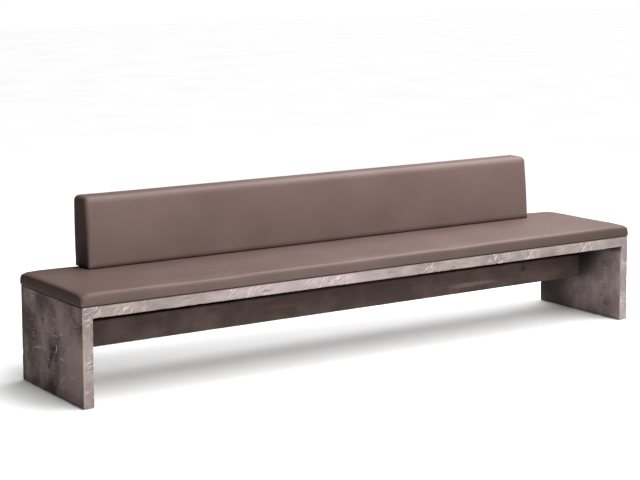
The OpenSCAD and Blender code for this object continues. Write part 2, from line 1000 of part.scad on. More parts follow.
module keeper_screw_places() {
    for (side = [-1, 1])
        translate([side * keeper_screw_x, keeper_thickness, keeper_height / 2])
            rotate([90, 0, 0])
                children();
}

module post_keepers() {
    color("#8d9095")
        keeper_places()
            difference() {
                linear_extrude(keeper_height)
                    polygon([
                        [-keeper_half_length, 0], [-keeper_inner_half, 0],
                        [-keeper_inner_half, keeper_depth - keeper_thickness],
                        [keeper_inner_half, keeper_depth - keeper_thickness],
                        [keeper_inner_half, 0], [keeper_half_length, 0],
                        [keeper_half_length, keeper_thickness], [keeper_outer_half, keeper_thickness],
                        [keeper_outer_half, keeper_depth], [-keeper_outer_half, keeper_depth],
                        [-keeper_outer_half, keeper_thickness], [-keeper_half_length, keeper_thickness]
                    ]);
                keeper_screw_places()
                    translate([0, 0, -overrun])
                        bored(screw_radius + fixing_clearance, keeper_thickness + 2 * overrun);
            }
}

module keeper_screws() {
    color("#b9bcc0")
        keeper_places()
            keeper_screw_places()
                pan_screw(keeper_screw_length);
}

/*
Backrest
*/

module leaning_slab(low, high, front, rear, length) {
    slant = 1 / cos(core_lean);
    extrude_x(length)
        polygon([
            [core_mid_y(low) - front * slant, low],
            [core_mid_y(low) + rear * slant, low],
            [core_mid_y(high) + rear * slant, high],
            [core_mid_y(high) - front * slant, high]
        ]);
}

module core_blank(grown = 0) {
    leaning_slab(
        core_under - grown, core_top + grown,
        core_thickness / 2 + grown, core_thickness / 2 + grown,
        2 * (core_half_x + grown)
    );
}

module base_screw_places() {
    for (x = core_bay_xs)
        translate([x, core_mid_y(core_under + base_screw_length / 2), backrest_foot + cover_thickness])
            children();
}

module backrest_core() {
    color("#c9ab7c")
        difference() {
            core_blank();
            keeper_places()
                keeper_screw_places()
                    pan_screw(keeper_screw_length, fixing_clearance);
            base_screw_places()
                flat_screw(base_screw_length, fixing_clearance);
        }
}

module backrest_base_blank(grown = 0) {
    translate([
        -back_half_x + back_base_inset - grown,
        back_front_at(backrest_base_thickness) + back_base_inset - grown,
        backrest_foot + cover_thickness - grown
    ])
        cube([
            2 * (back_half_x - back_base_inset + grown),
            back_rear_y - back_front_at(backrest_base_thickness) - 2 * (back_base_inset - grown),
            backrest_base_thickness + 2 * grown
        ]);
}

module back_post_passage() {
    post_passage(backrest_foot - overrun, core_under + overrun, slot_clearance);
}

module backrest_base() {
    color("#c9ab7c")
        difference() {
            backrest_base_blank();
            back_post_passage();
            base_screw_places()
                flat_screw(base_screw_length, fixing_clearance);
        }
}

module backrest_base_screws() {
    color("#b9bcc0")
        base_screw_places()
            flat_screw(base_screw_length);
}

module backrest_inner_form() {
    depth = cover_thickness + soft_clearance;
    ring_chain(back_rings(back_profile(depth, 2, inner_back_side_shares, inner_crown_shares), depth));
}

// Everything behind the back face of the core
module behind_core(grown = 0) {
    leaning_slab(
        backrest_foot - overrun, backrest_top + backrest_crown + overrun,
        -core_thickness / 2 - grown, backrest_thickness,
        2 * (back_half_x + overrun)
    );
}

module backrest_front_foam() {
    color("#e7dfc6")
        difference() {
            backrest_inner_form();
            behind_core(-soft_clearance);
            core_blank(soft_clearance);
            backrest_base_blank(soft_clearance);
        }
}

// Channels in the rear foam for the posts, the keepers and their screw heads
module post_channels() {
    half = keeper_half_length + soft_clearance;
    depth = keeper_depth + screw_head_height;
    for (x = post_xs)
        translate([x, 0, 0])
            leaning_slab(
                core_under - backrest_base_thickness, post_top + soft_clearance,
                0, core_thickness / 2 + depth, 2 * half
            );
}

module backrest_rear_foam() {
    color("#e7dfc6")
        difference() {
            intersection() {
                backrest_inner_form();
                behind_core(soft_clearance);
            }
            backrest_base_blank(soft_clearance);
            post_channels();
        }
}

// The two rings at the turned-under edge of the backrest cover
function back_edge_rings(opening) = [
    for (z = [cover_thickness, 0])
        [
            for (q = ring(
                back_half_x - opening, back_half_y - opening, backrest_foot_radius, 0, 0, seat_pad_crown_reach
            ))
                [q[0], (back_front_y + back_rear_y) / 2 + q[1], backrest_foot + z]
        ]
];

module backrest_cover() {
    inner = back_profile(cover_thickness, 2, inner_back_side_shares, inner_crown_shares);
    outer = back_profile(0, 4, back_side_shares, crown_shares);
    opening = backrest_bulge + backrest_turn_under;
    color("#7b6762")
        ring_chain(concat(
            back_rings(reversed(inner), cover_thickness),
            back_edge_rings(opening),
            back_rings(outer, 0)
        ));
}

module backrest_lining() {
    inset = backrest_bulge + backrest_turn_under + soft_clearance;
    color("#2f2d2c")
        difference() {
            translate([0, (back_front_y + back_rear_y) / 2, backrest_foot + cover_thickness - lining_thickness])
                linear_extrude(lining_thickness)
                    polygon(ring(
                        back_half_x - inset, back_half_y - inset,
                        backrest_foot_radius - soft_clearance, 0, 0, seat_pad_crown_reach
                    ));
            back_post_passage();
        }
}

/*
Feet
*/

module at_glides() {
    for (x = glide_xs)
        for (y = glide_ys)
            translate([x, y, 0])
                children();
}

module glides() {
    color("#d9d6cf")
        at_glides()
            difference() {
                bored(glide_diameter / 2, glide_height);
                translate([0, 0, glide_height - nail_head_thickness])
                    bored(nail_head_radius + fixing_clearance, nail_head_thickness + overrun);
            }
}

module glide_nails() {
    color("#b9bcc0")
        at_glides()
            translate([0, 0, glide_height - nail_head_thickness]) {
                bored(nail_head_radius, nail_head_thickness);
                bored(glide_nail_diameter / 2, glide_nail_length);
            }
}

/*
Assembly
*/

seat_board();
left_end_panel();
right_end_panel();
under_seat_rail();
left_mitre_tenons();
right_mitre_tenons();
left_rail_tenons();
right_rail_tenons();
rail_angles();
rail_angle_screws();
seat_pad_base();
seat_pad_foam();
seat_pad_cover();
seat_pad_lining();
seat_pad_tee_nuts();
seat_pad_bolts();
seat_pad_washers();
for (number = [1:post_count])
    back_post(post_xs[number - 1]);
post_bolts();
post_inserts();
post_keepers();
keeper_screws();
backrest_core();
backrest_base();
backrest_base_screws();
backrest_front_foam();
backrest_rear_foam();
backrest_cover();
backrest_lining();
glides();
glide_nails();
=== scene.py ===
"""Upholstered banquette bench: its looks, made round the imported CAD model.

Lengths are in metres, in the model's own frame: X along the bench, the front faces -Y, +Z up.
"""

import math

import bmesh
import bpy
from mathutils import Matrix, Vector, noise


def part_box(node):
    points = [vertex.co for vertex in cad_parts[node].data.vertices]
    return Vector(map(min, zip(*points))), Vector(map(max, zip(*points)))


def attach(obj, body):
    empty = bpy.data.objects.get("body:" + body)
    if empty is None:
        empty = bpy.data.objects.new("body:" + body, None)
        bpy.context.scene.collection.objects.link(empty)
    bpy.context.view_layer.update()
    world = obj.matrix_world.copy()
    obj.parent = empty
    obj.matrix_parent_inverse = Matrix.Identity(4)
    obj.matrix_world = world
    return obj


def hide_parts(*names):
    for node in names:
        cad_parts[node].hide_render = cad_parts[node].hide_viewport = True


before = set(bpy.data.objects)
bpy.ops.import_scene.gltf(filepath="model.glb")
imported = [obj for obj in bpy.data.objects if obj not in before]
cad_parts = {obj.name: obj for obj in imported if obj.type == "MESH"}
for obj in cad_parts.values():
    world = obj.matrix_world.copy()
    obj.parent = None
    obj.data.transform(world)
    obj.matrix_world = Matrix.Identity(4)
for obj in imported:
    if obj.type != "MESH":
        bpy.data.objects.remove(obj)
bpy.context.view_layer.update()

bl_info = {
    "name": "Upholstered banquette bench",
    "version": (1, 0, 0),
    "blender": (4, 5, 0),
    "location": "3D View > Sidebar > Bench",
    "description": "Sawn oak boards, leather pads and their fixings",
    "category": "Object",
}

# The boards and pads as the CAD model has them
BOARD_LOW, BOARD_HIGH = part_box("seat_board")
LEFT_LOW, LEFT_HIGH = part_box("left_end_panel")
RIGHT_LOW, RIGHT_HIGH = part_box("right_end_panel")
RAIL_LOW, RAIL_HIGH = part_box("under_seat_rail")
SEAT_LOW, SEAT_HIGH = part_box("seat_pad_cover")
BACK_LOW, BACK_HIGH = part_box("backrest_cover")
WASHERS_LOW, WASHERS_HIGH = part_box("seat_pad_washers")
BOARD_THICKNESS = BOARD_HIGH.z - BOARD_LOW.z
POSTS = [f"back_post_{number}" for number in range(1, 5)]
POST_XS = [sum(corner.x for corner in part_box(post)) / 2 for post in POSTS]
BAY_ENDS = [LEFT_HIGH.x, *POST_XS, RIGHT_LOW.x]
BOLT_XS = [(start + end) / 2 for start, end in zip(BAY_ENDS, BAY_ENDS[1:])]
WASHER_RADIUS = 0.012
BORE_RADIUS = WASHER_RADIUS + 0.0008
BORE_DEPTH = 0.012
BOLT_HOLE_RADIUS = 0.0048

# How far up from its foot a pad's cover is held by its plywood base
HELD_HEIGHT = 0.004
# How deep into a board the patches on its faces and edges reach
SKIN = 0.02
# The photograph's width in pixels, and the width of the camera's sensor in millimetres
PHOTO_WIDTH = 640
SENSOR_WIDTH = 36.0


# Colours and nodes


def linear(hex_colour):
    """An sRGB hex colour as linear red, green, blue and alpha."""
    shares = [int(hex_colour[i : i + 2], 16) / 255 for i in (1, 3, 5)]
    return [c / 12.92 if c <= 0.04045 else ((c + 0.055) / 1.055) ** 2.4 for c in shares] + [1.0]


def node(tree, kind, inputs=None, **settings):
    """Adds a shader node, with its settings, and with a value or a link for each input named."""
    made = tree.nodes.new(kind)
    for name, value in settings.items():
        setattr(made, name, value)
    for name, value in (inputs or {}).items():
        if isinstance(value, bpy.types.NodeSocket):
            tree.links.new(value, made.inputs[name])
        else:
            made.inputs[name].default_value = value
    return made


def blank_material(name):
    """A material with an empty tree, and its Object coordinates."""
    material = bpy.data.materials.new(name)
    material.use_nodes = True
    tree = material.node_tree
    tree.nodes.clear()
    return material, tree, node(tree, "ShaderNodeTexCoord").outputs["Object"]


def finished(tree, colour, roughness, bump=None, **others):
    """Ends a tree in a Principled shader, whose other inputs are named with _ for a space."""
    inputs = {"Base Color": colour, "Roughness": roughness}
    if bump is not None:
        inputs["Normal"] = bump
    inputs.update({name.replace("_", " "): value for name, value in others.items()})
    shader = node(tree, "ShaderNodeBsdfPrincipled", inputs)
    node(tree, "ShaderNodeOutputMaterial", {"Surface": shader.outputs[0]})


def ramp(tree, value, stops):
    """A colour ramp through grey levels or colours, given as (place, level or colour)."""
    made = node(tree, "ShaderNodeValToRGB", {"Fac": value})
    stops = [(place, look if isinstance(look, list) else [look, look, look, 1.0]) for place, look in stops]
    elements = made.color_ramp.elements
    elements[0].position, elements[0].color = stops[0]
    elements[1].position, elements[1].color = stops[-1]
    for place, colour in stops[1:-1]:
        elements.new(place).color = colour
    return made.outputs["Color"]


def speckle(tree, place, size, stretch=(1, 1, 1), detail=2.0, turn=(0, 0, 0)):
    """Soft noise whose lumps are about size across, longer where stretch is over 1."""
    moved = node(
        tree,
        "ShaderNodeMapping",
        {"Vector": place, "Rotation": turn, "Scale": [size * s for s in stretch]},
        vector_type="TEXTURE",
    )
    return node(
        tree, "ShaderNodeTexNoise", {"Vector": moved.outputs[0], "Scale": 1.0, "Detail": detail}
    ).outputs[0]


def mixed(tree, factor, under, over, kind="MIX"):
    """One colour laid over another."""
    made = node(tree, "ShaderNodeMix", data_type="RGBA", blend_type=kind)
    for socket, value in zip((made.inputs[0], made.inputs[6], made.inputs[7]), (factor, under, over)):
        if isinstance(value, bpy.types.NodeSocket):
            tree.links.new(value, socket)
        else:
            socket.default_value = value
    return made.outputs[2]


def counted(tree, operation, first, second=None, clamp=False):
    """A sum on one or two values."""
    inputs = {0: first} if second is None else {0: first, 1: second}
    return node(tree, "ShaderNodeMath", inputs, operation=operation, use_clamp=clamp).outputs[0]


def between(tree, value, start, end, low=0.0, high=1.0, ease="LINEAR"):
    """low where value is at start, high where it is at end, and a slope between them."""
    inputs = {"Value": value, "From Min": start, "From Max": end, "To Min": low, "To Max": high}
    return node(tree, "ShaderNodeMapRange", inputs, interpolation_type=ease).outputs[0]


def spot(tree, place, centre, radii, turn):
    """1 in the middle of a spot, and 0 outside its radii."""
    away = node(
        tree,
        "ShaderNodeMapping",
        {"Vector": place, "Location": centre, "Rotation": turn, "Scale": radii},
        vector_type="TEXTURE",
    )
    length = node(tree, "ShaderNodeVectorMath", {0: away.outputs[0]}, operation="LENGTH")
    return between(tree, length.outputs["Value"], 1.0, 0.3, ease="SMOOTHSTEP")


# Materials


def rough_sawn_oak(
    name, face, face_light, cut, along, spots=(), scratches=(), marks=0.5, figured=1.0, outer=None
):
    """Limed, greyed oak straight from the band saw: dull and open, the grain drawn in long streaks.

    The grain runs along that axis. A board with a cut colour has pale front and rear edges, and
    scratches gives the places along X where they are scratched. outer paints shade on the outer faces.
    """
    material, tree, place = blank_material(name)
    here = node(tree, "ShaderNodeSeparateXYZ", {0: place}).outputs
    # Streaks of grain about 5 mm wide, broken figure and wide clouds of lime
    grain = [14.0 if i == along else 1.0 for i in range(3)]
    streaks = speckle(tree, place, 0.005, grain, 3.0)
    figure = speckle(tree, place, 0.022, (4, 1, 1) if along == 0 else (1, 1.5, 2.5), 4.0)
    clouds = speckle(tree, place, 0.14, detail=4.0)
    base = linear(face)
    if outer:
        # Painted shade: the outer sides of the end panels are darker than the inner ones
        sideways = counted(tree, "ABSOLUTE", here["X"])
        away = between(tree, sideways, RIGHT_HIGH.x - 0.03, RIGHT_HIGH.x - 0.015)
        base = mixed(tree, away, base, linear(outer))
    tone = mixed(tree, ramp(tree, clouds, [(0.4, 0.0), (0.62, 1.0)]), base, linear(face_light))
    tone = mixed(tree, 0.45 * figured, tone, ramp(tree, figure, [(0.35, 0.25), (0.65, 0.75)]), "OVERLAY")
    share = 0.12 if along == 2 else 0.3 * figured
    tone = mixed(tree, share, tone, ramp(tree, streaks, [(0.3, 0.25), (0.7, 0.75)]), "OVERLAY")
    # Thin light marks of the saw across the grain, 40 to 100 mm long, in loose groups
    across = [14.0 if i == (1 if along == 2 else 2) else 1.0 for i in range(3)]
    lines = ramp(tree, speckle(tree, place, 0.005, across, 1.0), [(0.62, 0.0), (0.68, 1.0)])
    groups = ramp(tree, speckle(tree, place, 0.08, detail=1.0), [(0.45, 0.0), (0.55, 1.0)])
    lines = counted(tree, "MULTIPLY", lines, counted(tree, "MULTIPLY", groups, marks))
    tone = mixed(tree, lines, tone, linear("#a3968f"))
    shine = 0.25
    if cut:
        # The cut edges that face the front and the back are paler
        pale = mixed(tree, ramp(tree, clouds, [(0.4, 0.0), (0.6, 1.0)]), linear(cut), linear("#786e69"))
        pale = mixed(tree, 0.3, pale, ramp(tree, streaks, [(0.3, 0.3), (0.7, 0.7)]), "OVERLAY")
        pale = mixed(tree, 0.3, pale, ramp(tree, figure, [(0.35, 0.3), (0.65, 0.7)]), "OVERLAY")
        patch = ramp(tree, speckle(tree, place, 0.06, detail=1.0), [(0.52, 0.0), (0.62, 1.0)])
        if scratches:
            along_x = between(tree, here["X"], BOARD_LOW.x, BOARD_HIGH.x)
            span = BOARD_HIGH.x - BOARD_LOW.x
            patch = ramp(tree, along_x, [(x / span + 0.5, level) for x, level in scratches])
        # Slanting scratches of the blade, about 4 mm wide so that they show
        lean = math.radians(-12 if along == 2 else -48)
        slant = speckle(tree, place, 0.0044, (9, 1, 1), 1.0, (0, lean, 0))
        bright = counted(tree, "MULTIPLY", ramp(tree, slant, [(0.57, 0.0), (0.62, 1.0)]), patch)
        dark = counted(tree, "MULTIPLY", ramp(tree, slant, [(0.38, 1.0), (0.43, 0.0)]), patch)
        bright = counted(tree, "MULTIPLY", bright, 0.35 if along == 2 else 0.7)
        pale = mixed(tree, bright, pale, linear("#cdc3be"))
        pale = mixed(tree, counted(tree, "MULTIPLY", dark, 0.5), pale, linear("#463c38"))
        depth = counted(tree, "ABSOLUTE", here["Y"])
        edge = between(tree, depth, BOARD_HIGH.y - 0.0038, BOARD_HIGH.y - 0.0016)
        tone = mixed(tree, edge, tone, pale)
    else:
        # Painted shade: the upper part of the rail, under the seat board, is almost black and has no shine
        upper = counted(tree, "ADD", here["Z"], counted(tree, "MULTIPLY", figure, 0.008))
        upper = between(tree, upper, RAIL_HIGH.z - 0.085, RAIL_HIGH.z - 0.076)
        tone = mixed(tree, upper, tone, linear("#0a0706"))
        shine = counted(tree, "MULTIPLY", counted(tree, "SUBTRACT", 1.0, upper), shine)
    # Pits in the faces
    pits = ramp(tree, speckle(tree, place, 0.008, detail=1.0), [(0.7, 0.0), (0.76, 1.0)])
    tone = mixed(tree, counted(tree, "MULTIPLY", pits, 0.5), tone, linear("#3a302c"))
    # Knots, cracks and bruises, with ragged outlines, and patches of painted shadow, painted shade and
    # painted light
    ragged = node(tree, "ShaderNodeTexNoise", {"Vector": place, "Scale": 70.0, "Detail": 3.0})
    wobbly = ragged.outputs["Color"]
    for operation, inputs in (
        ("SUBTRACT", {1: (0.5, 0.5, 0.5)}),
        ("SCALE", {"Scale": 0.02}),
        ("ADD", {1: place}),
    ):
        step = node(tree, "ShaderNodeVectorMath", {0: wobbly, **inputs}, operation=operation)
        wobbly = step.outputs[0]
    height = counted(tree, "SUBTRACT", counted(tree, "MULTIPLY", streaks, 0.5), pits)
    height = counted(tree, "ADD", height, counted(tree, "MULTIPLY", figure, 0.8))
    for centre, radii, turn, colour, strength in spots:
        mask = spot(tree, wobbly, centre, radii, (math.radians(turn), 0, 0))
        mask = counted(tree, "MULTIPLY", mask, strength)
        tone = mixed(tree, mask, tone, linear(colour))
        height = counted(tree, "SUBTRACT", height, mask)
    bump = node(tree, "ShaderNodeBump", {"Height": height, "Strength": 0.5, "Distance": 0.0015})
    roughness = ramp(tree, streaks, [(0.3, 0.72), (0.7, 0.9)])
    finished(tree, tone, roughness, bump.outputs[0], Specular_IOR_Level=shine)
    return material


def seat_leather():
    """Pigmented cowhide, finely embossed: an even taupe with a soft satin shine, and painted shade at the
    ends, on the seat's front towards the right, where the pad turns under and in the crease under the
    backrest.
    """
    material, tree, place = blank_material("pigmented_taupe_leather")
    clouds = speckle(tree, place, 0.25, detail=3.0)
    tone = mixed(tree, ramp(tree, clouds, [(0.3, 0.0), (0.7, 1.0)]), linear("#4e3e3a"), linear("#554541"))
    # Painted shade: the ends are a darker tone than the rest, and so is the seat's front towards the right
    facing = node(tree, "ShaderNodeAttribute", attribute_name="facing").outputs["Vector"]
    facing = node(tree, "ShaderNodeSeparateXYZ", {0: facing}).outputs
    ends = ramp(tree, counted(tree, "ABSOLUTE", facing["X"]), [(0.6, 0.0), (0.95, 1.0)])
    tone = mixed(tree, ends, tone, linear("#3a2b26"))
    here = node(tree, "ShaderNodeSeparateXYZ", {0: place}).outputs
    # Painted shade on the seat's front, darker towards the right and towards the foot
    front = ramp(tree, counted(tree, "MULTIPLY", facing["Y"], -1.0), [(0.45, 0.0), (0.9, 1.0)])
    along = between(tree, here["X"], SEAT_LOW.x, SEAT_HIGH.x)
    rightward = ramp(tree, along, [(0.0, 0.3), (0.3, 0.05), (0.62, 0.45), (0.95, 0.9)])
    downward = between(tree, here["Z"], SEAT_LOW.z + 0.045, SEAT_LOW.z + 0.01, 0.6, 1.1)
    rightward = counted(tree, "MULTIPLY", rightward, downward, True)
    low = between(tree, here["Z"], SEAT_HIGH.z + 0.002, SEAT_HIGH.z - 0.004)
    front = counted(tree, "MULTIPLY", counted(tree, "MULTIPLY", front, rightward), low)
    tone = mixed(tree, front, tone, linear("#33261f"))
    # Painted shade where the seat pad turns under
    under = between(tree, here["Z"], SEAT_LOW.z + 0.007, SEAT_LOW.z + 0.004)
    tone = mixed(tree, under, tone, linear("#1a1310"))
    # and painted shade in the crease where the backrest stands on the seat
    crease = between(tree, here["Z"], BACK_LOW.z + 0.024, BACK_LOW.z + 0.002, 0.0, 0.63)
    above = between(tree, here["Z"], SEAT_HIGH.z - 0.006, SEAT_HIGH.z - 0.003)
    steep = ramp(tree, facing["Z"], [(0.3, 1.0), (0.45, 0.0)])
    crease = counted(tree, "MULTIPLY", counted(tree, "MULTIPLY", crease, above), steep)
    tone = mixed(tree, crease, tone, linear("#1a1310"))
    # The real grain is about 1 mm; it is drawn at 3 mm so that it shows
    cells = node(tree, "ShaderNodeTexVoronoi", {"Vector": place, "Scale": 330.0}, feature="F1")
    creases = ramp(tree, cells.outputs["Distance"], [(0.0, 1.0), (0.7, 0.0)])
    tone = mixed(tree, 0.08, tone, creases, "OVERLAY")
    folds = speckle(tree, place, 0.05, (3, 1, 1), 2.0)
    height = counted(tree, "ADD", counted(tree, "MULTIPLY", creases, 0.12), folds)
    bump = node(tree, "ShaderNodeBump", {"Height": height, "Strength": 0.25, "Distance": 0.001})
    # The ends aren't polished by use
    roughness = ramp(tree, speckle(tree, place, 0.02), [(0.3, 0.42), (0.7, 0.5)])
    roughness = counted(tree, "ADD", roughness, counted(tree, "MULTIPLY", ends, 0.3))
    finished(tree, tone, roughness, bump.outputs[0], Specular_IOR_Level=0.16)
    return material


def layered_birch():
    """Birch plywood: pale veneers 1.5 mm thick, dark glue lines between them."""
    material, tree, place = blank_material("birch_plywood")
    figure = speckle(tree, place, 0.01, (30, 1, 1), 3.0)
    tone = mixed(tree, ramp(tree, figure, [(0.3, 0.0), (0.7, 1.0)]), linear("#b79366"), linear("#d3b587"))
    bands = node(
        tree, "ShaderNodeTexWave", {"Vector": place, "Scale": 105.0}, bands_direction="Z"
    ).outputs["Color"]
    tone = mixed(tree, 0.25, tone, bands, "OVERLAY")
    bump = node(tree, "ShaderNodeBump", {"Height": figure, "Strength": 0.2, "Distance": 0.0005})
    finished(tree, tone, ramp(tree, figure, [(0.3, 0.5), (0.7, 0.65)]), bump.outputs[0])
    return material


def beech_tenon():
    """Beech for loose tenons: pink brown with short flecks."""
    material, tree, place = blank_material("steamed_beech")
    flecks = speckle(tree, place, 0.003, (1, 1, 8), 2.0)
    tone = mixed(tree, ramp(tree, flecks, [(0.35, 0.0), (0.65, 1.0)]), linear("#a87f5b"), linear("#c09a74"))
    bump = node(tree, "ShaderNodeBump", {"Height": flecks, "Strength": 0.2, "Distance": 0.0004})
    finished(tree, tone, ramp(tree, flecks, [(0.3, 0.55), (0.7, 0.7)]), bump.outputs[0])
    return material


def metal(name, colour, roughness, grain, metallic=1.0):
    """Plated or coated metal with the fine unevenness of its finish."""
    material, tree, place = blank_material(name)
    lumps = speckle(tree, place, grain, detail=3.0)
    darker = [c * 0.85 for c in linear(colour)[:3]] + [1.0]
    tone = mixed(tree, ramp(tree, lumps, [(0.3, 0.0), (0.7, 1.0)]), darker, linear(colour))
    bump = node(tree, "ShaderNodeBump", {"Height": lumps, "Strength": 0.15, "Distance": 0.0003})
    rough = ramp(tree, lumps, [(0.3, roughness - 0.06), (0.7, roughness + 0.06)])
    finished(tree, tone, rough, bump.outputs[0], Metallic=metallic)
    return material


def soft_matte(name, colour, cell, depth):
    """Open foam, felted lining or nylon: dull, with small cells."""
    material, tree, place = blank_material(name)
    cells = node(tree, "ShaderNodeTexVoronoi", {"Vector": place, "Scale": 1 / cell}, feature="F1")
    pores = ramp(tree, cells.outputs["Distance"], [(0.1, 0.0), (0.6, 1.0)])
    darker = [c * 0.7 for c in linear(colour)[:3]] + [1.0]
    tone = mixed(tree, pores, darker, linear(colour))
    bump = node(tree, "ShaderNodeBump", {"Height": pores, "Strength": 0.4, "Distance": depth})
    finished(tree, tone, ramp(tree, pores, [(0.0, 0.95), (1.0, 0.8)]), bump.outputs[0])
    return material


# Shapes


def finish_piece(name, form, material, slot, *nodes):
    """Makes the object for a mesh, sets its material and hides the CAD nodes it stands for."""
    mesh = bpy.data.meshes.new(name)
    form.to_mesh(mesh)
    form.free()
    piece = bpy.data.objects.new(name, mesh)
    bpy.context.scene.collection.objects.link(piece)
    mesh.materials.append(material)
    mesh.shade_smooth()
    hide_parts(*nodes)
    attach(piece, "root")
    return piece


def edges_along(form, axis, least):
    """The edges that run along one axis and are at least that long."""
    found = []
    for edge in form.edges:
        run = edge.verts[1].co - edge.verts[0].co
        if abs(run[axis]) >= max(least, 0.999 * run.length):
            found.append(edge)
    return found


def cut_across(form, axis, places):
    """Cuts a form at places along one axis."""
    plane = Vector((0, 0, 0))
    plane[axis] = 1
    for place in places:
        bmesh.ops.bisect_plane(
            form, geom=form.verts[:] + form.edges[:] + form.faces[:], plane_co=plane * place, plane_no=plane
        )


def block(low, high):
    """A block from corner to corner."""
    form = bmesh.new()
    bmesh.ops.create_cube(form, size=1.0)
    bmesh.ops.scale(form, vec=high - low, verts=form.verts)
    bmesh.ops.translate(form, vec=(low + high) / 2, verts=form.verts)
    return form


def sawn_board(low, high, along, grid, gap, dents=(), foot=False, arris=None):
    """A board with worn arrises and a sawn, uneven skin.

    gap tells how far a point is from the board's joints, where it stays true.
    """
    timber = bpy.context.scene.bench_timber
    form = block(low, high)
    size = high - low
    worn = edges_along(form, along, 0.9 * size[along])
    if foot:
        worn += [e for e in edges_along(form, 1, 0.9 * size.y) if e.verts[0].co.z < low.z + 1e-5]
    bmesh.ops.bevel(
        form,
        geom=worn,
        offset=arris or timber.arris,
        segments=2,
        profile=0.5,
        affect="EDGES",
        material=-1,
    )
    for axis in range(3):
        if isinstance(grid[axis], list):
            cut_across(form, axis, grid[axis])
            continue
        bmesh.ops.subdivide_edges(
            form,
            edges=edges_along(form, axis, 0.8 * size[axis]),
            cuts=round(size[axis] / grid[axis]) - 1,
            use_grid_fill=True,
        )
    form.normal_update()
    moved = [(v, roughened(v.co, v.normal, low, high, along, dents, gap(v.co))) for v in form.verts]
    for vertex, place in moved:
        vertex.co = place
    return form


def roughened(point, normal, low, high, along, dents, gap):
    """Where a point of a board's skin lies after sawing and wear."""
    timber = bpy.context.scene.bench_timber
    free = eased_between(0.0, 0.012, gap)
    stretched = point.copy()
    stretched[along] *= 0.25
    rise = noise.noise(stretched * 45) * 0.6 + noise.noise(point * 130) * 0.4 - 1
    place = point + normal * rise * timber.relief * free
    for centre, radius, depth in dents:
        away = (point - Vector(centre)).length + 0.004 * noise.noise(point * 150)
        if away < radius:
            place -= normal * depth * (1 - away / radius)
    sides = [i for i in range(3) if i != along]
    gaps = {i: min(point[i] - low[i], high[i] - point[i]) for i in sides}
    closeness = 1 - max(gaps.values()) / timber.wear_reach
    if closeness > 0:
        bite = max(0.0, noise.noise(point * 36) + 0.6 * noise.noise(point * 110) - 0.12)
        for i in sides:
            place[i] += math.copysign(bite * timber.wear * closeness * free, low[i] + high[i] - 2 * point[i])
    return place


def eased_between(low, high, value):
    """0 below low, 1 above high, smooth between them."""
    share = min(1.0, max(0.0, (value - low) / (high - low)))
    return share * share * (3 - 2 * share)


def padded_block(low, high, edge, foot, spacing):
    """A block with rounded top edges and corners, its faces cut into a grid for the cloth."""
    form = block(low, high)
    top = [e for e in form.edges if all(v.co.z > high.z - spacing for v in e.verts)]
    upright = edges_along(form, 2, 0.9 * (high.z - low.z))
    shape = {"profile": 0.5, "affect": "EDGES", "material": -1}
    bmesh.ops.bevel(form, geom=top + upright, offset=edge, segments=4, **shape)
    lower = [e for e in form.edges if all(v.co.z < low.z + 1e-5 for v in e.verts)]
    bmesh.ops.bevel(form, geom=lower, offset=foot, segments=3, **shape)
    size = high - low
    for axis in range(3):
        long_edges = edges_along(form, axis, size[axis] - 2.5 * edge)
        cuts = max(1, round((size[axis] - 2 * edge) / spacing) - 1)
        bmesh.ops.subdivide_edges(form, edges=long_edges, cuts=cuts, use_grid_fill=True)
    form.normal_update()
    return form


def cornered(place, low, high, drawn, wanted):
    """Brings a point of an upright corner from the radius it was drawn with to another one."""
    middle = (low + high) / 2
    half = (high - low) / 2
    shares = [(abs(place[i] - middle[i]) - half[i]) / drawn + 1 for i in (0, 1)]
    if min(shares) < -1e-4:
        return
    for i in (0, 1):
        place[i] = middle[i] + math.copysign(half[i] - wanted * (1 - shares[i]), place[i] - middle[i])


def bulge(vertex, foot, top, end_depth, side_depth):
    """Rounds the ends and the sides of a pad outwards at half height."""
    share = min(1.0, max(0.0, (vertex.co.z - foot) / (top - foot)))
    flat = Vector((vertex.normal.x * end_depth, vertex.normal.y * side_depth, 0))
    vertex.co += flat * math.sin(math.pi * share)


def bored(piece, cutters):
    """Cuts holes and recesses out of a piece."""
    mesh = bpy.data.meshes.new("cutters")
    cutters.to_mesh(mesh)
    cutters.free()
    tool = bpy.data.objects.new("cutters", mesh)
    bpy.context.scene.collection.objects.link(tool)
    cut = piece.modifiers.new("cut", "BOOLEAN")
    cut.operation = "DIFFERENCE"
    cut.object = tool
    bpy.context.view_layer.objects.active = piece
    with bpy.context.temp_override(object=piece, active_object=piece):
        bpy.ops.object.modifier_apply(modifier=cut.name)
    bpy.data.objects.remove(tool)
    bpy.data.meshes.remove(mesh)


def swollen(piece, foot):
    """Blows the cloth of a pad up from inside, then caps how far each point has moved."""
    pads = bpy.context.scene.bench_pads
    start = [v.co.copy() for v in piece.data.vertices]
    group = piece.vertex_groups.new(name="held")
    for index, place in enumerate(start):
        group.add([index], 1.0 if place.z < foot + HELD_HEIGHT else 0.0, "REPLACE")
    cloth = piece.modifiers.new("swell", "CLOTH")
    settings = cloth.settings
    settings.quality = 5
    settings.mass = 0.4
    settings.tension_stiffness = settings.compression_stiffness = 30
    settings.bending_stiffness = 6
    settings.use_pressure = True
    settings.uniform_pressure_force = pads.pressure
    settings.vertex_group_mass = "held"
    settings.shrink_min = -pads.slack
    settings.effector_weights.gravity = 0
    cloth.point_cache.frame_start = 1
    cloth.point_cache.frame_end = pads.frames
    scene = bpy.context.scene
    for number in range(1, pads.frames + 1):
        scene.frame_set(number)
    view = bpy.context.evaluated_depsgraph_get()
    blown = [v.co.copy() for v in piece.evaluated_get(view).data.vertices]
    piece.modifiers.remove(cloth)
    piece.vertex_groups.clear()
    scene.frame_set(1)
    for vertex, before, after in zip(piece.data.vertices, start, blown):
        step = after - before
        vertex.co = before + step * min(1.0, pads.swell / max(step.length, 1e-9))
    piece.data.update()


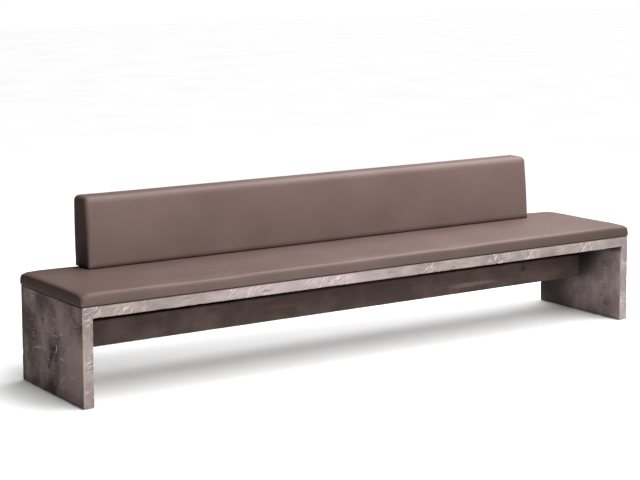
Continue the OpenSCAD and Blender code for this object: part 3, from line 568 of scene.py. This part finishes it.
def smoothed(piece):
    """One level of subdivision, made permanent, and a record of which way each point then faces."""
    skin = piece.modifiers.new("smooth", "SUBSURF")
    skin.levels = skin.render_levels = 1
    bpy.context.view_layer.objects.active = piece
    with bpy.context.temp_override(object=piece, active_object=piece):
        bpy.ops.object.modifier_apply(modifier=skin.name)
    piece.data.shade_smooth()
    facing = piece.data.attributes.new("facing", "FLOAT_VECTOR", "POINT")
    for entry, vertex in zip(facing.data, piece.data.vertices):
        entry.vector = vertex.normal


def dress(material, *nodes):
    """Gives CAD nodes a material."""
    for name in nodes:
        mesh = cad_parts[name].data
        mesh.materials.clear()
        mesh.materials.append(material)


# What a user would change


class BENCH_PG_timber(bpy.types.PropertyGroup):
    """The oak boards."""

    face: bpy.props.StringProperty(name="Face", description="Colour of the sawn faces", default="#918384")
    # Painted shade: the end panels' outer faces get a darker colour than the inner faces
    outer_face_painted_shade: bpy.props.StringProperty(
        name="Outer face", description="Colour of the end panels' outer faces", default="#443532"
    )
    face_light: bpy.props.StringProperty(
        name="Light face", description="Colour of the limed parts of the faces", default="#766763"
    )
    cut: bpy.props.StringProperty(name="Cut edge", description="Colour of the cut edges", default="#6a5f5c")
    rail: bpy.props.StringProperty(name="Rail", description="Colour of the rail", default="#342925")
    rail_light: bpy.props.StringProperty(
        name="Light rail", description="Colour of the lighter parts of the rail", default="#433632"
    )
    arris: bpy.props.FloatProperty(
        name="Arris", description="Width of the eased edges", default=0.0015, unit="LENGTH"
    )
    rail_arris: bpy.props.FloatProperty(
        name="Rail arris", description="Width of the rail's eased edges", default=0.005, unit="LENGTH"
    )
    grid: bpy.props.FloatProperty(
        name="Grid", description="Size of the faces of the sawn skin", default=0.004, unit="LENGTH"
    )
    relief: bpy.props.FloatProperty(
        name="Relief", description="Depth of the sawn unevenness", default=0.0004, unit="LENGTH"
    )
    wear: bpy.props.FloatProperty(
        name="Wear", description="Depth of the bites out of the arrises", default=0.003, unit="LENGTH"
    )
    wear_reach: bpy.props.FloatProperty(
        name="Wear reach", description="How far wear reaches from an arris", default=0.007, unit="LENGTH"
    )


class BENCH_PG_pads(bpy.types.PropertyGroup):
    """The leather pads."""

    edge: bpy.props.FloatProperty(
        name="Edge radius",
        description="Radius of the upper edges and corners",
        default=0.012,
        unit="LENGTH",
    )
    back_edge: bpy.props.FloatProperty(
        name="Backrest edge radius",
        description="Radius of the backrest's edges",
        default=0.026,
        unit="LENGTH",
    )
    foot: bpy.props.FloatProperty(
        name="Foot radius", description="Radius of the lower edges", default=0.012, unit="LENGTH"
    )
    back_foot: bpy.props.FloatProperty(
        name="Backrest foot radius", description="Radius of its lower edges", default=0.011, unit="LENGTH"
    )
    spacing: bpy.props.FloatProperty(
        name="Grid",
        description="Size of the cloth's faces in the simulation",
        default=0.014,
        unit="LENGTH",
    )
    swell: bpy.props.FloatProperty(
        name="Swell",
        description="Furthest that a point of the cloth may move",
        default=0.003,
        unit="LENGTH",
    )
    pressure: bpy.props.FloatProperty(name="Pressure", description="Pressure of the foam", default=7.0)
    corner: bpy.props.FloatProperty(
        name="Corner radius",
        description="Radius of the upright corners at the foot",
        default=0.011,
        unit="LENGTH",
    )
    seat_corner: bpy.props.FloatProperty(
        name="Seat corner radius",
        description="Radius of the seat's upright corners",
        default=0.026,
        unit="LENGTH",
    )
    corner_sag: bpy.props.FloatProperty(
        name="Corner sag",
        description="How much lower the seat's corners sit",
        default=0.004,
        unit="LENGTH",
    )
    side_bulge: bpy.props.FloatProperty(
        name="Side bulge",
        description="How far the sides swell at half height",
        default=0.004,
        unit="LENGTH",
    )
    slack: bpy.props.FloatProperty(name="Slack", description="Spare share of the leather", default=0.004)
    frames: bpy.props.IntProperty(name="Frames", description="Length of the simulation", default=20)
    front_lean: bpy.props.FloatProperty(
        name="Front lean",
        description="Lean of the backrest's front face",
        default=math.radians(5.5),
        subtype="ANGLE",
    )
    rear_lean: bpy.props.FloatProperty(
        name="Rear lean",
        description="Lean of the backrest's rear face",
        default=math.radians(3),
        subtype="ANGLE",
    )


class BENCH_PG_stage(bpy.types.PropertyGroup):
    """Camera, floor and light."""

    focal_pixels: bpy.props.FloatProperty(
        name="Focal length", description="Focal length in pixels of the photograph", default=1724.2
    )
    place: bpy.props.FloatVectorProperty(
        name="Camera",
        description="Where the camera stands",
        default=(-4.4827, -6.5253, 1.8741),
        unit="LENGTH",
    )
    yaw: bpy.props.FloatProperty(
        name="Yaw", description="Turn to the right of +Y", default=math.radians(33.628), subtype="ANGLE"
    )
    pitch: bpy.props.FloatProperty(
        name="Pitch",
        description="Tilt below the horizon",
        default=math.radians(6.592),
        subtype="ANGLE",
    )
    roll: bpy.props.FloatProperty(
        name="Roll",
        description="Turn about the line of sight",
        default=math.radians(-0.279),
        subtype="ANGLE",
    )
    shift_pixels: bpy.props.FloatProperty(
        name="Shift", description="Shift of the frame in pixels of the photograph", default=-96.0
    )
    floor: bpy.props.StringProperty(name="Floor", description="Colour of the floor", default="#eaeaea")
    softbox: bpy.props.FloatProperty(
        name="Softbox", description="Power of the softbox above", default=190.0
    )
    key: bpy.props.FloatProperty(
        name="Key light", description="Strength of the high front light", default=4.6
    )
    fill: bpy.props.FloatProperty(
        name="Front light", description="Strength of the low front light", default=1.9
    )
    rim: bpy.props.FloatProperty(name="Back light", description="Strength of the back light", default=0.3)
    sky: bpy.props.FloatProperty(
        name="Sky", description="Strength of the light from all round", default=0.02
    )


class Step:
    """What every operator of the bench has in common."""

    bl_options = {"REGISTER", "UNDO"}


class BENCH_OT_stage(Step, bpy.types.Operator):
    """Camera at the photograph's angle, pale floor and soft studio light"""

    bl_idname = "bench.stage"
    bl_label = "Stage"

    def execute(self, context):
        stage = context.scene.bench_stage
        lens = bpy.data.cameras.new("camera")
        lens.sensor_width = SENSOR_WIDTH
        lens.lens = stage.focal_pixels * SENSOR_WIDTH / PHOTO_WIDTH
        lens.shift_y = stage.shift_pixels / PHOTO_WIDTH
        lens.clip_end = 100
        camera = bpy.data.objects.new("camera", lens)
        turned = Matrix.Rotation(-stage.yaw, 3, "Z")
        turned @= Matrix.Rotation(math.radians(90) - stage.pitch, 3, "X")
        turned @= Matrix.Rotation(stage.roll, 3, "Z")
        camera.rotation_euler = turned.to_euler()
        camera.location = stage.place
        context.scene.collection.objects.link(camera)
        context.scene.camera = camera

        floor = bmesh.new()
        bmesh.ops.create_grid(floor, x_segments=4, y_segments=4, size=30)
        mesh = bpy.data.meshes.new("studio_floor")
        floor.to_mesh(mesh)
        floor.free()
        ground = bpy.data.objects.new("studio_floor", mesh)
        context.scene.collection.objects.link(ground)
        material, tree, place = blank_material("pale_studio_floor")
        clouds = speckle(tree, place, 0.8, detail=2.0)
        lighter = ramp(tree, clouds, [(0.3, 0.0), (0.7, 1.0)])
        tone = mixed(tree, lighter, linear("#e5e5e5"), linear(stage.floor))
        finished(tree, tone, 0.7)
        mesh.materials.append(material)

        # Wide suns for the soft light of the studio, and a softbox over the right half
        suns = (
            ("key_light", (0.3, -0.6, 0.75), 60, stage.key),
            ("front_light", (0.0, -0.96, 0.28), 24, stage.fill),
            ("back_light", (0.75, 0.55, 0.4), 60, stage.rim),
        )
        for name, direction, angle, strength in suns:
            light = bpy.data.lights.new(name, "SUN")
            light.angle = math.radians(angle)
            light.energy = strength
            lamp = bpy.data.objects.new(name, light)
            lamp.rotation_euler = Vector(direction).to_track_quat("Z", "Y").to_euler()
            context.scene.collection.objects.link(lamp)
        light = bpy.data.lights.new("softbox", "AREA")
        light.shape = "RECTANGLE"
        light.size, light.size_y = 4.0, 2.5
        light.energy = stage.softbox
        lamp = bpy.data.objects.new("softbox", light)
        lamp.location = (1.05, 0.3, 2.7)
        lamp.rotation_euler = (0, math.radians(20), 0)
        lamp.visible_camera = False
        context.scene.collection.objects.link(lamp)

        world = bpy.data.worlds.new("studio")
        world.use_nodes = True
        tree = world.node_tree
        tree.nodes.clear()
        seen = node(tree, "ShaderNodeLightPath").outputs["Is Camera Ray"]
        strength = between(tree, seen, 0.0, 1.0, stage.sky, 1.0)
        background = node(tree, "ShaderNodeBackground", {"Color": linear("#ffffff"), "Strength": strength})
        node(tree, "ShaderNodeOutputWorld", {"Surface": background.outputs[0]})
        context.scene.world = world
        context.scene.view_settings.view_transform = "Standard"
        return {"FINISHED"}


class BENCH_OT_seat_board(Step, bpy.types.Operator):
    """Seat board with mitred ends and the counterbores under it"""

    bl_idname = "bench.seat_board"
    bl_label = "Seat board"

    def execute(self, context):
        timber = context.scene.bench_timber
        # Narrow faces near the front and rear edges, wide ones between them
        edge_rows = [timber.grid * i for i in range(1, 6)] + [0.04, 0.1, 0.2]
        depths = [BOARD_LOW.y + r for r in edge_rows] + [BOARD_HIGH.y - r for r in edge_rows] + [0.0]
        form = sawn_board(
            BOARD_LOW, BOARD_HIGH, 0, (timber.grid, depths, timber.grid), lambda p: BOARD_HIGH.x - abs(p.x)
        )
        half = BOARD_HIGH.x
        for vertex in form.verts:
            short = BOARD_HIGH.z - vertex.co.z
            vertex.co.x *= (half - short) / half
        front = BOARD_LOW.y
        spots = [
            ((0.401, front, 0.386), (0.006, SKIN, 0.006), 0, "#241c19", 1.0),
            ((-0.45, front, 0.396), (0.75, SKIN, 0.08), 0, "#95888a", 0.45),
            ((-0.62, front, 0.392), (0.04, SKIN, 0.008), 0, "#5f534d", 0.7),
            ((0.05, front, 0.4), (0.06, SKIN, 0.01), 0, "#66594f", 0.6),
            ((-1.02, front, 0.405), (0.03, SKIN, 0.006), 0, "#5f534d", 0.6),
        ]
        scratches = [
            (-1.44, 0.6), (-1.37, 0.0), (-1.3, 0.7), (-1.24, 0.0), (-1.2, 0.5), (-1.15, 0.0),
            (-0.86, 0.0), (-0.8, 0.8), (-0.76, 0.2), (-0.69, 1.0), (-0.6, 0.2),
            (-0.45, 0.0), (-0.38, 1.0), (-0.31, 0.5), (-0.24, 1.0), (-0.14, 0.0),
            (0.2, 0.0), (0.27, 0.9), (0.33, 0.0), (0.58, 0.0), (0.66, 1.0), (0.74, 0.2),
            (0.8, 0.1), (0.87, 1.0), (0.93, 0.0), (1.14, 0.0), (1.21, 1.0), (1.29, 0.0),
        ]
        oak = rough_sawn_oak(
            "rough_sawn_oak_board", timber.face, timber.face_light, timber.cut, 0, spots, scratches
        )
        piece = finish_piece("seat_board_sawn", form, oak, "rough_sawn_wood", "seat_board")
        # Counterbores and bolt holes from below, and recesses for the foot plates of the posts
        overrun, through, play = 0.01, 0.1, 0.001
        cutters = bmesh.new()
        rows = (WASHERS_LOW.y + WASHER_RADIUS, WASHERS_HIGH.y - WASHER_RADIUS)
        for x, y in [(x, y) for x in BOLT_XS for y in rows]:
            for radius, low, high in (
                (BORE_RADIUS, -overrun, BORE_DEPTH),
                (BOLT_HOLE_RADIUS, 0.0, through),
            ):
                bmesh.ops.create_cone(
                    cutters, cap_ends=True, segments=48, radius1=radius, radius2=radius, depth=high - low,
                    matrix=Matrix.Translation((x, y, BOARD_LOW.z + (low + high) / 2)),
                )
        bored(piece, cutters)
        cutters = bmesh.new()
        for post in POSTS:
            low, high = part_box(post)
            size = Vector((high.x - low.x + play, high.y - low.y + play, through))
            centre = Vector(((low.x + high.x) / 2, (low.y + high.y) / 2, low.z + size.z / 2))
            recess = Matrix.Translation(centre) @ Matrix.Diagonal(size.to_4d())
            bmesh.ops.create_cube(cutters, size=1.0, matrix=recess)
        bored(piece, cutters)
        return {"FINISHED"}


class BENCH_OT_end_panels(Step, bpy.types.Operator):
    """Left and right end panels, mitred at the top"""

    bl_idname = "bench.end_panels"
    bl_label = "End panels"

    def execute(self, context):
        timber = context.scene.bench_timber
        outer = LEFT_LOW.x
        left_spots = [
            ((outer, -0.22, 0.14), (SKIN, 0.17, 0.22), 0, "#8c7b75", 0.7),
            # Painted shade along the rear edge
            ((outer, 0.3, 0.2), (SKIN, 0.04, 0.6), 0, "#332b28", 0.6),
            ((outer, 0.0, 0.17), (SKIN, 0.085, 0.03), -56, "#4c413e", 0.5),
            ((outer, -0.022, 0.2), (SKIN, 0.026, 0.015), -30, "#1d1715", 0.95),
            ((outer, 0.004, 0.163), (SKIN, 0.046, 0.011), -62, "#1d1715", 0.95),
            ((outer, 0.028, 0.118), (SKIN, 0.024, 0.011), -50, "#241c19", 0.9),
            # Painted highlight: a glint in the crack
            ((outer, -0.049, 0.205), (SKIN, 0.005, 0.02), 0, "#e6ded9", 0.95),
            ((outer, 0.084, 0.306), (SKIN, 0.018, 0.014), 0, "#332a27", 0.8),
            ((outer, 0.08, 0.288), (SKIN, 0.01, 0.009), 0, "#3d3330", 0.75),
            ((outer, 0.05, 0.25), (SKIN, 0.01, 0.008), 0, "#443936", 0.6),
            ((outer, -0.048, 0.283), (SKIN, 0.024, 0.014), 0, "#4a4541", 0.65),
            ((outer, -0.098, 0.276), (SKIN, 0.03, 0.005), -20, "#9c918c", 0.6),
            ((outer, 0.15, 0.03), (SKIN, 0.05, 0.018), 0, "#47413e", 0.6),
            ((outer, 0.136, 0.178), (SKIN, 0.05, 0.0045), -11, "#a1958f", 0.8),
            ((outer, -0.105, 0.171), (SKIN, 0.034, 0.0045), 0, "#a1958f", 0.8),
            ((outer, -0.095, 0.083), (SKIN, 0.062, 0.005), -41, "#a1958f", 0.75),
            ((outer, -0.194, 0.113), (SKIN, 0.062, 0.005), 7, "#9c918c", 0.65),
            ((outer, -0.135, 0.039), (SKIN, 0.01, 0.008), 0, "#3d3330", 0.6),
            ((outer, -0.166, 0.347), (SKIN, 0.012, 0.008), 0, "#443936", 0.6),
            ((outer, 0.045, 0.401), (SKIN, 0.005, 0.02), 0, "#5a3a33", 0.7),
            ((outer, 0.273, 0.23), (SKIN, 0.012, 0.02), 0, "#443936", 0.5),
        ]
        inner = RIGHT_LOW.x
        right_spots = [
            # Painted shadows of the seat board and the rail on the inner face, in the next five patches
            ((inner, 0.2, 0.16), (SKIN, 0.22, 0.3), 0, "#352c29", 0.8),
            ((inner, 0.02, 0.28), (SKIN, 0.2, 0.16), 0, "#2b2322", 0.7),
            ((inner, -0.22, 0.37), (SKIN, 0.16, 0.04), 0, "#15100e", 0.95),
            ((inner, -0.04, 0.385), (SKIN, 0.38, 0.24), -32, "#120d0b", 0.95),
            ((inner, 0.29, 0.16), (SKIN, 0.3, 0.2), -32, "#15100e", 0.8),
            ((inner, -0.2, 0.075), (SKIN, 0.045, 0.02), 0, "#5b504d", 0.6),
            ((inner, -0.206, 0.063), (SKIN, 0.03, 0.005), 38, "#332a27", 0.8),
            ((inner, -0.163, 0.174), (SKIN, 0.035, 0.004), -12, "#b3a7a2", 0.6),
            ((inner, -0.164, 0.107), (SKIN, 0.012, 0.008), 0, "#463c39", 0.6),
            ((inner, -0.178, 0.279), (SKIN, 0.02, 0.012), 0, "#544a47", 0.6),
            ((inner, -0.239, 0.289), (SKIN, 0.012, 0.009), 0, "#544a47", 0.6),
        ]
        left_dents = [
            ((outer, -0.022, 0.2), 0.018, 0.0016),
            ((outer, -0.003, 0.175), 0.012, 0.002),
            ((outer, 0.008, 0.155), 0.014, 0.002),
        ]
        right_dents = [((inner, -0.206, 0.063), 0.02, 0.0015)]
        panels = (
            ("left_panel_sawn", LEFT_LOW, LEFT_HIGH, left_spots, left_dents, "left_end_panel"),
            ("right_panel_sawn", RIGHT_LOW, RIGHT_HIGH, right_spots, right_dents, "right_end_panel"),
        )
        for name, low, high, spots, dents, cad in panels:
            top = Vector((high.x, high.y, BOARD_HIGH.z))
            form = sawn_board(
                low, top, 2, (timber.grid,) * 3, lambda p: BOARD_HIGH.z - p.z, dents, foot=True
            )
            outside = max(abs(low.x), abs(high.x))
            full = top.z - low.z
            for vertex in form.verts:
                inward = min(BOARD_THICKNESS, max(0.0, outside - abs(vertex.co.x)))
                vertex.co.z = low.z + (vertex.co.z - low.z) * (full - inward) / full
            # The outer faces take the darker colour of painted shade
            oak = rough_sawn_oak(
                name.replace("panel_sawn", "panel_rough_sawn_oak"),
                timber.face, timber.face_light, timber.cut, 2, spots,
                figured=0.45, outer=timber.outer_face_painted_shade,
            )
            finish_piece(name, form, oak, "rough_sawn_wood_dark", cad)
        return {"FINISHED"}


class BENCH_OT_rail(Step, bpy.types.Operator):
    """Rail on edge under the seat board"""

    bl_idname = "bench.rail"
    bl_label = "Under-seat rail"

    def execute(self, context):
        timber = context.scene.bench_timber
        front = RAIL_LOW.y
        spots = [
            ((1.078, front, 0.258), (0.019, SKIN, 0.017), 0, "#120d0b", 1.0),
            ((1.29, front, 0.214), (0.08, SKIN, 0.012), 0, "#5e3428", 0.3),
            ((-0.35, front, 0.24), (0.12, SKIN, 0.014), 0, "#5c3b30", 0.35),
            # Painted light: a lighter patch low on the rail
            ((0.75, front, 0.215), (0.2, SKIN, 0.016), 0, "#7a6a61", 0.3),
            # Painted shade: two broad dark patches along the top of the rail, under the seat board
            ((0.1, front, 0.3), (0.8, SKIN, 0.12), 0, "#2a1c18", 0.5),
            ((1.4, front, 0.3), (0.6, SKIN, 0.13), 0, "#1a120f", 0.5),
        ]
        form = sawn_board(
            RAIL_LOW, RAIL_HIGH, 0, (2 * timber.grid,) * 3, lambda p: RAIL_HIGH.x - abs(p.x),
            [((1.078, front, 0.258), 0.018, 0.002)], arris=timber.rail_arris,
        )
        oak = rough_sawn_oak(
            "dark_sawn_oak_rail", timber.rail, timber.rail_light, None, 0, spots, marks=0.0, figured=0.4
        )
        finish_piece("rail_sawn", form, oak, "rail_wood", "under_seat_rail")
        return {"FINISHED"}


class BENCH_OT_seat_pad(Step, bpy.types.Operator):
    """Seat pad in leather over foam"""

    bl_idname = "bench.seat_pad"
    bl_label = "Seat pad"

    def execute(self, context):
        pads = context.scene.bench_pads
        overhang = Vector((0.002, 0.001, 0.0))
        corner_reach, rim_width = 0.1, 0.09
        dent_depth, dent_inset, front_lean_in = 0.005, 0.003, 0.003
        low, high = SEAT_LOW - overhang, SEAT_HIGH + overhang - Vector((0, 0, pads.swell))
        form = padded_block(low, high, pads.edge, pads.foot, pads.spacing)
        for vertex in form.verts:
            place = vertex.co
            level = (place.z - low.z) / (high.z - low.z)
            cornered(place, low, high, pads.edge, pads.seat_corner * (0.45 + 0.55 * level))
            bulge(vertex, low.z, high.z, 0.6 * pads.side_bulge, pads.side_bulge)
            gap_x, gap_y = high.x - abs(place.x), high.y - abs(place.y)
            inward = min(gap_x, gap_y)
            # The right end runs down almost straight
            if level < 0.3 and place.x > high.x - 1.01 * pads.foot:
                place.x = high.x - 0.5 * gap_x
            # Towards the right the front leans in at its foot
            if place.y < 0:
                place.y += front_lean_in * (1 - level) * eased_between(-0.2, 1.2, place.x)
            level = eased_between(low.z, high.z, place.z)
            # The corners sit a little lower
            near_end = 1 - eased_between(0, corner_reach, gap_x)
            near_side = 1 - eased_between(0, corner_reach, gap_y)
            place.z -= pads.corner_sag * level * near_end * near_side
            # Long shallow dents along the upper front and rear edges
            dent = max(0.0, noise.noise(Vector((place.x * 3.1, place.y * 2.0, 4.0))))
            rim = (1 - eased_between(0.0, rim_width, inward)) * level
            place.z -= dent_depth * dent * rim
            place.y -= math.copysign(dent_inset * dent * rim, place.y)
        leather = seat_leather()
        piece = finish_piece("seat_pad_leather", form, leather, "leather", "seat_pad_cover", "seat_pad_foam")
        swollen(piece, low.z)
        smoothed(piece)
        return {"FINISHED"}


class BENCH_OT_backrest(Step, bpy.types.Operator):
    """Backrest pad, leaning back, in the same leather"""

    bl_idname = "bench.backrest"
    bl_label = "Backrest"

    def execute(self, context):
        pads = context.scene.bench_pads
        overhang, flare = 0.001, 0.008
        height = BACK_HIGH.z - BACK_LOW.z
        rear_foot = BACK_HIGH.y - height * math.tan(pads.rear_lean)
        low = Vector((BACK_LOW.x - overhang, BACK_LOW.y - overhang, BACK_LOW.z))
        high = Vector((BACK_HIGH.x + overhang, rear_foot + overhang, BACK_HIGH.z + overhang))
        form = padded_block(low, high, pads.back_edge, pads.back_foot, pads.spacing)
        for vertex in form.verts:
            place = vertex.co
            level = (place.z - low.z) / (high.z - low.z)
            corner = pads.corner + level * (pads.back_edge - pads.corner)
            cornered(place, low, high, pads.back_edge, corner)
            bulge(vertex, low.z, high.z, 0.2 * pads.side_bulge, pads.side_bulge)
            across = (place.y - low.y) / (high.y - low.y)
            up = place.z - low.z
            lean = pads.front_lean * (1 - across) + pads.rear_lean * across
            place.y += up * math.tan(lean)
            # The right end leans out a little at the top
            place.x += flare * (level - 0.5) * eased_between(1.1, 1.24, place.x)
        leather = bpy.data.materials["pigmented_taupe_leather"]
        piece = finish_piece(
            "backrest_leather", form, leather, "leather",
            "backrest_cover", "backrest_front_foam", "backrest_rear_foam",
        )
        swollen(piece, low.z)
        smoothed(piece)
        return {"FINISHED"}


class BENCH_OT_inside(Step, bpy.types.Operator):
    """Plywood, tenons and linings inside the frame and the pads"""

    bl_idname = "bench.inside"
    bl_label = "Inner parts"

    def execute(self, context):
        dress(layered_birch(), "seat_pad_base", "backrest_core", "backrest_base")
        dress(
            beech_tenon(), "left_mitre_tenons", "right_mitre_tenons", "left_rail_tenons", "right_rail_tenons"
        )
        felt = soft_matte("black_dust_lining", "#3a3735", 0.002, 0.0004)
        dress(felt, "seat_pad_lining", "backrest_lining")
        return {"FINISHED"}


class BENCH_OT_fixings(Step, bpy.types.Operator):
    """Steel, brass and nylon fixings"""

    bl_idname = "bench.fixings"
    bl_label = "Fixings"

    def execute(self, context):
        zinc = metal("zinc_plated_steel", "#a9adb3", 0.38, 0.004)
        dress(zinc, "rail_angles", "post_keepers")
        bright = metal("bright_zinc_fixings", "#c2c5c9", 0.3, 0.002)
        dress(
            bright, "rail_angle_screws", "seat_pad_tee_nuts", "seat_pad_bolts", "seat_pad_washers",
            "post_bolts", "keeper_screws", "backrest_base_screws", "glide_nails",
        )
        coated = metal("black_powder_coat", "#3c3e41", 0.55, 0.003, 0.0)
        dress(coated, *POSTS)
        dress(metal("turned_brass", "#c2a45a", 0.28, 0.002), "post_inserts")
        dress(soft_matte("white_nylon", "#d9d6cf", 0.001, 0.0001), "glides")
        return {"FINISHED"}


class BENCH_PT_panel(bpy.types.Panel):
    """Steps of the bench"""

    bl_idname = "BENCH_PT_panel"
    bl_label = "Banquette bench"
    bl_space_type = "VIEW_3D"
    bl_region_type = "UI"
    bl_category = "Bench"

    def draw(self, context):
        for step in STEPS:
            self.layout.operator(step.bl_idname)
        for group in (context.scene.bench_timber, context.scene.bench_pads, context.scene.bench_stage):
            for name in group.__annotations__:
                self.layout.prop(group, name)


STEPS = (
    BENCH_OT_stage,
    BENCH_OT_seat_board,
    BENCH_OT_end_panels,
    BENCH_OT_rail,
    BENCH_OT_seat_pad,
    BENCH_OT_backrest,
    BENCH_OT_inside,
    BENCH_OT_fixings,
)
GROUPS = {"bench_timber": BENCH_PG_timber, "bench_pads": BENCH_PG_pads, "bench_stage": BENCH_PG_stage}
CLASSES = (*GROUPS.values(), *STEPS, BENCH_PT_panel)


def register():
    for one in CLASSES:
        bpy.utils.register_class(one)
    for name, group in GROUPS.items():
        setattr(bpy.types.Scene, name, bpy.props.PointerProperty(type=group))


def unregister():
    for name in GROUPS:
        delattr(bpy.types.Scene, name)
    for one in reversed(CLASSES):
        bpy.utils.unregister_class(one)


def main():
    register()
    bpy.ops.bench.stage()
    bpy.ops.bench.seat_board()
    bpy.ops.bench.end_panels()
    bpy.ops.bench.rail()
    bpy.ops.bench.seat_pad()
    bpy.ops.bench.backrest()
    bpy.ops.bench.inside()
    bpy.ops.bench.fixings()


if __name__ == "__main__":
    main()
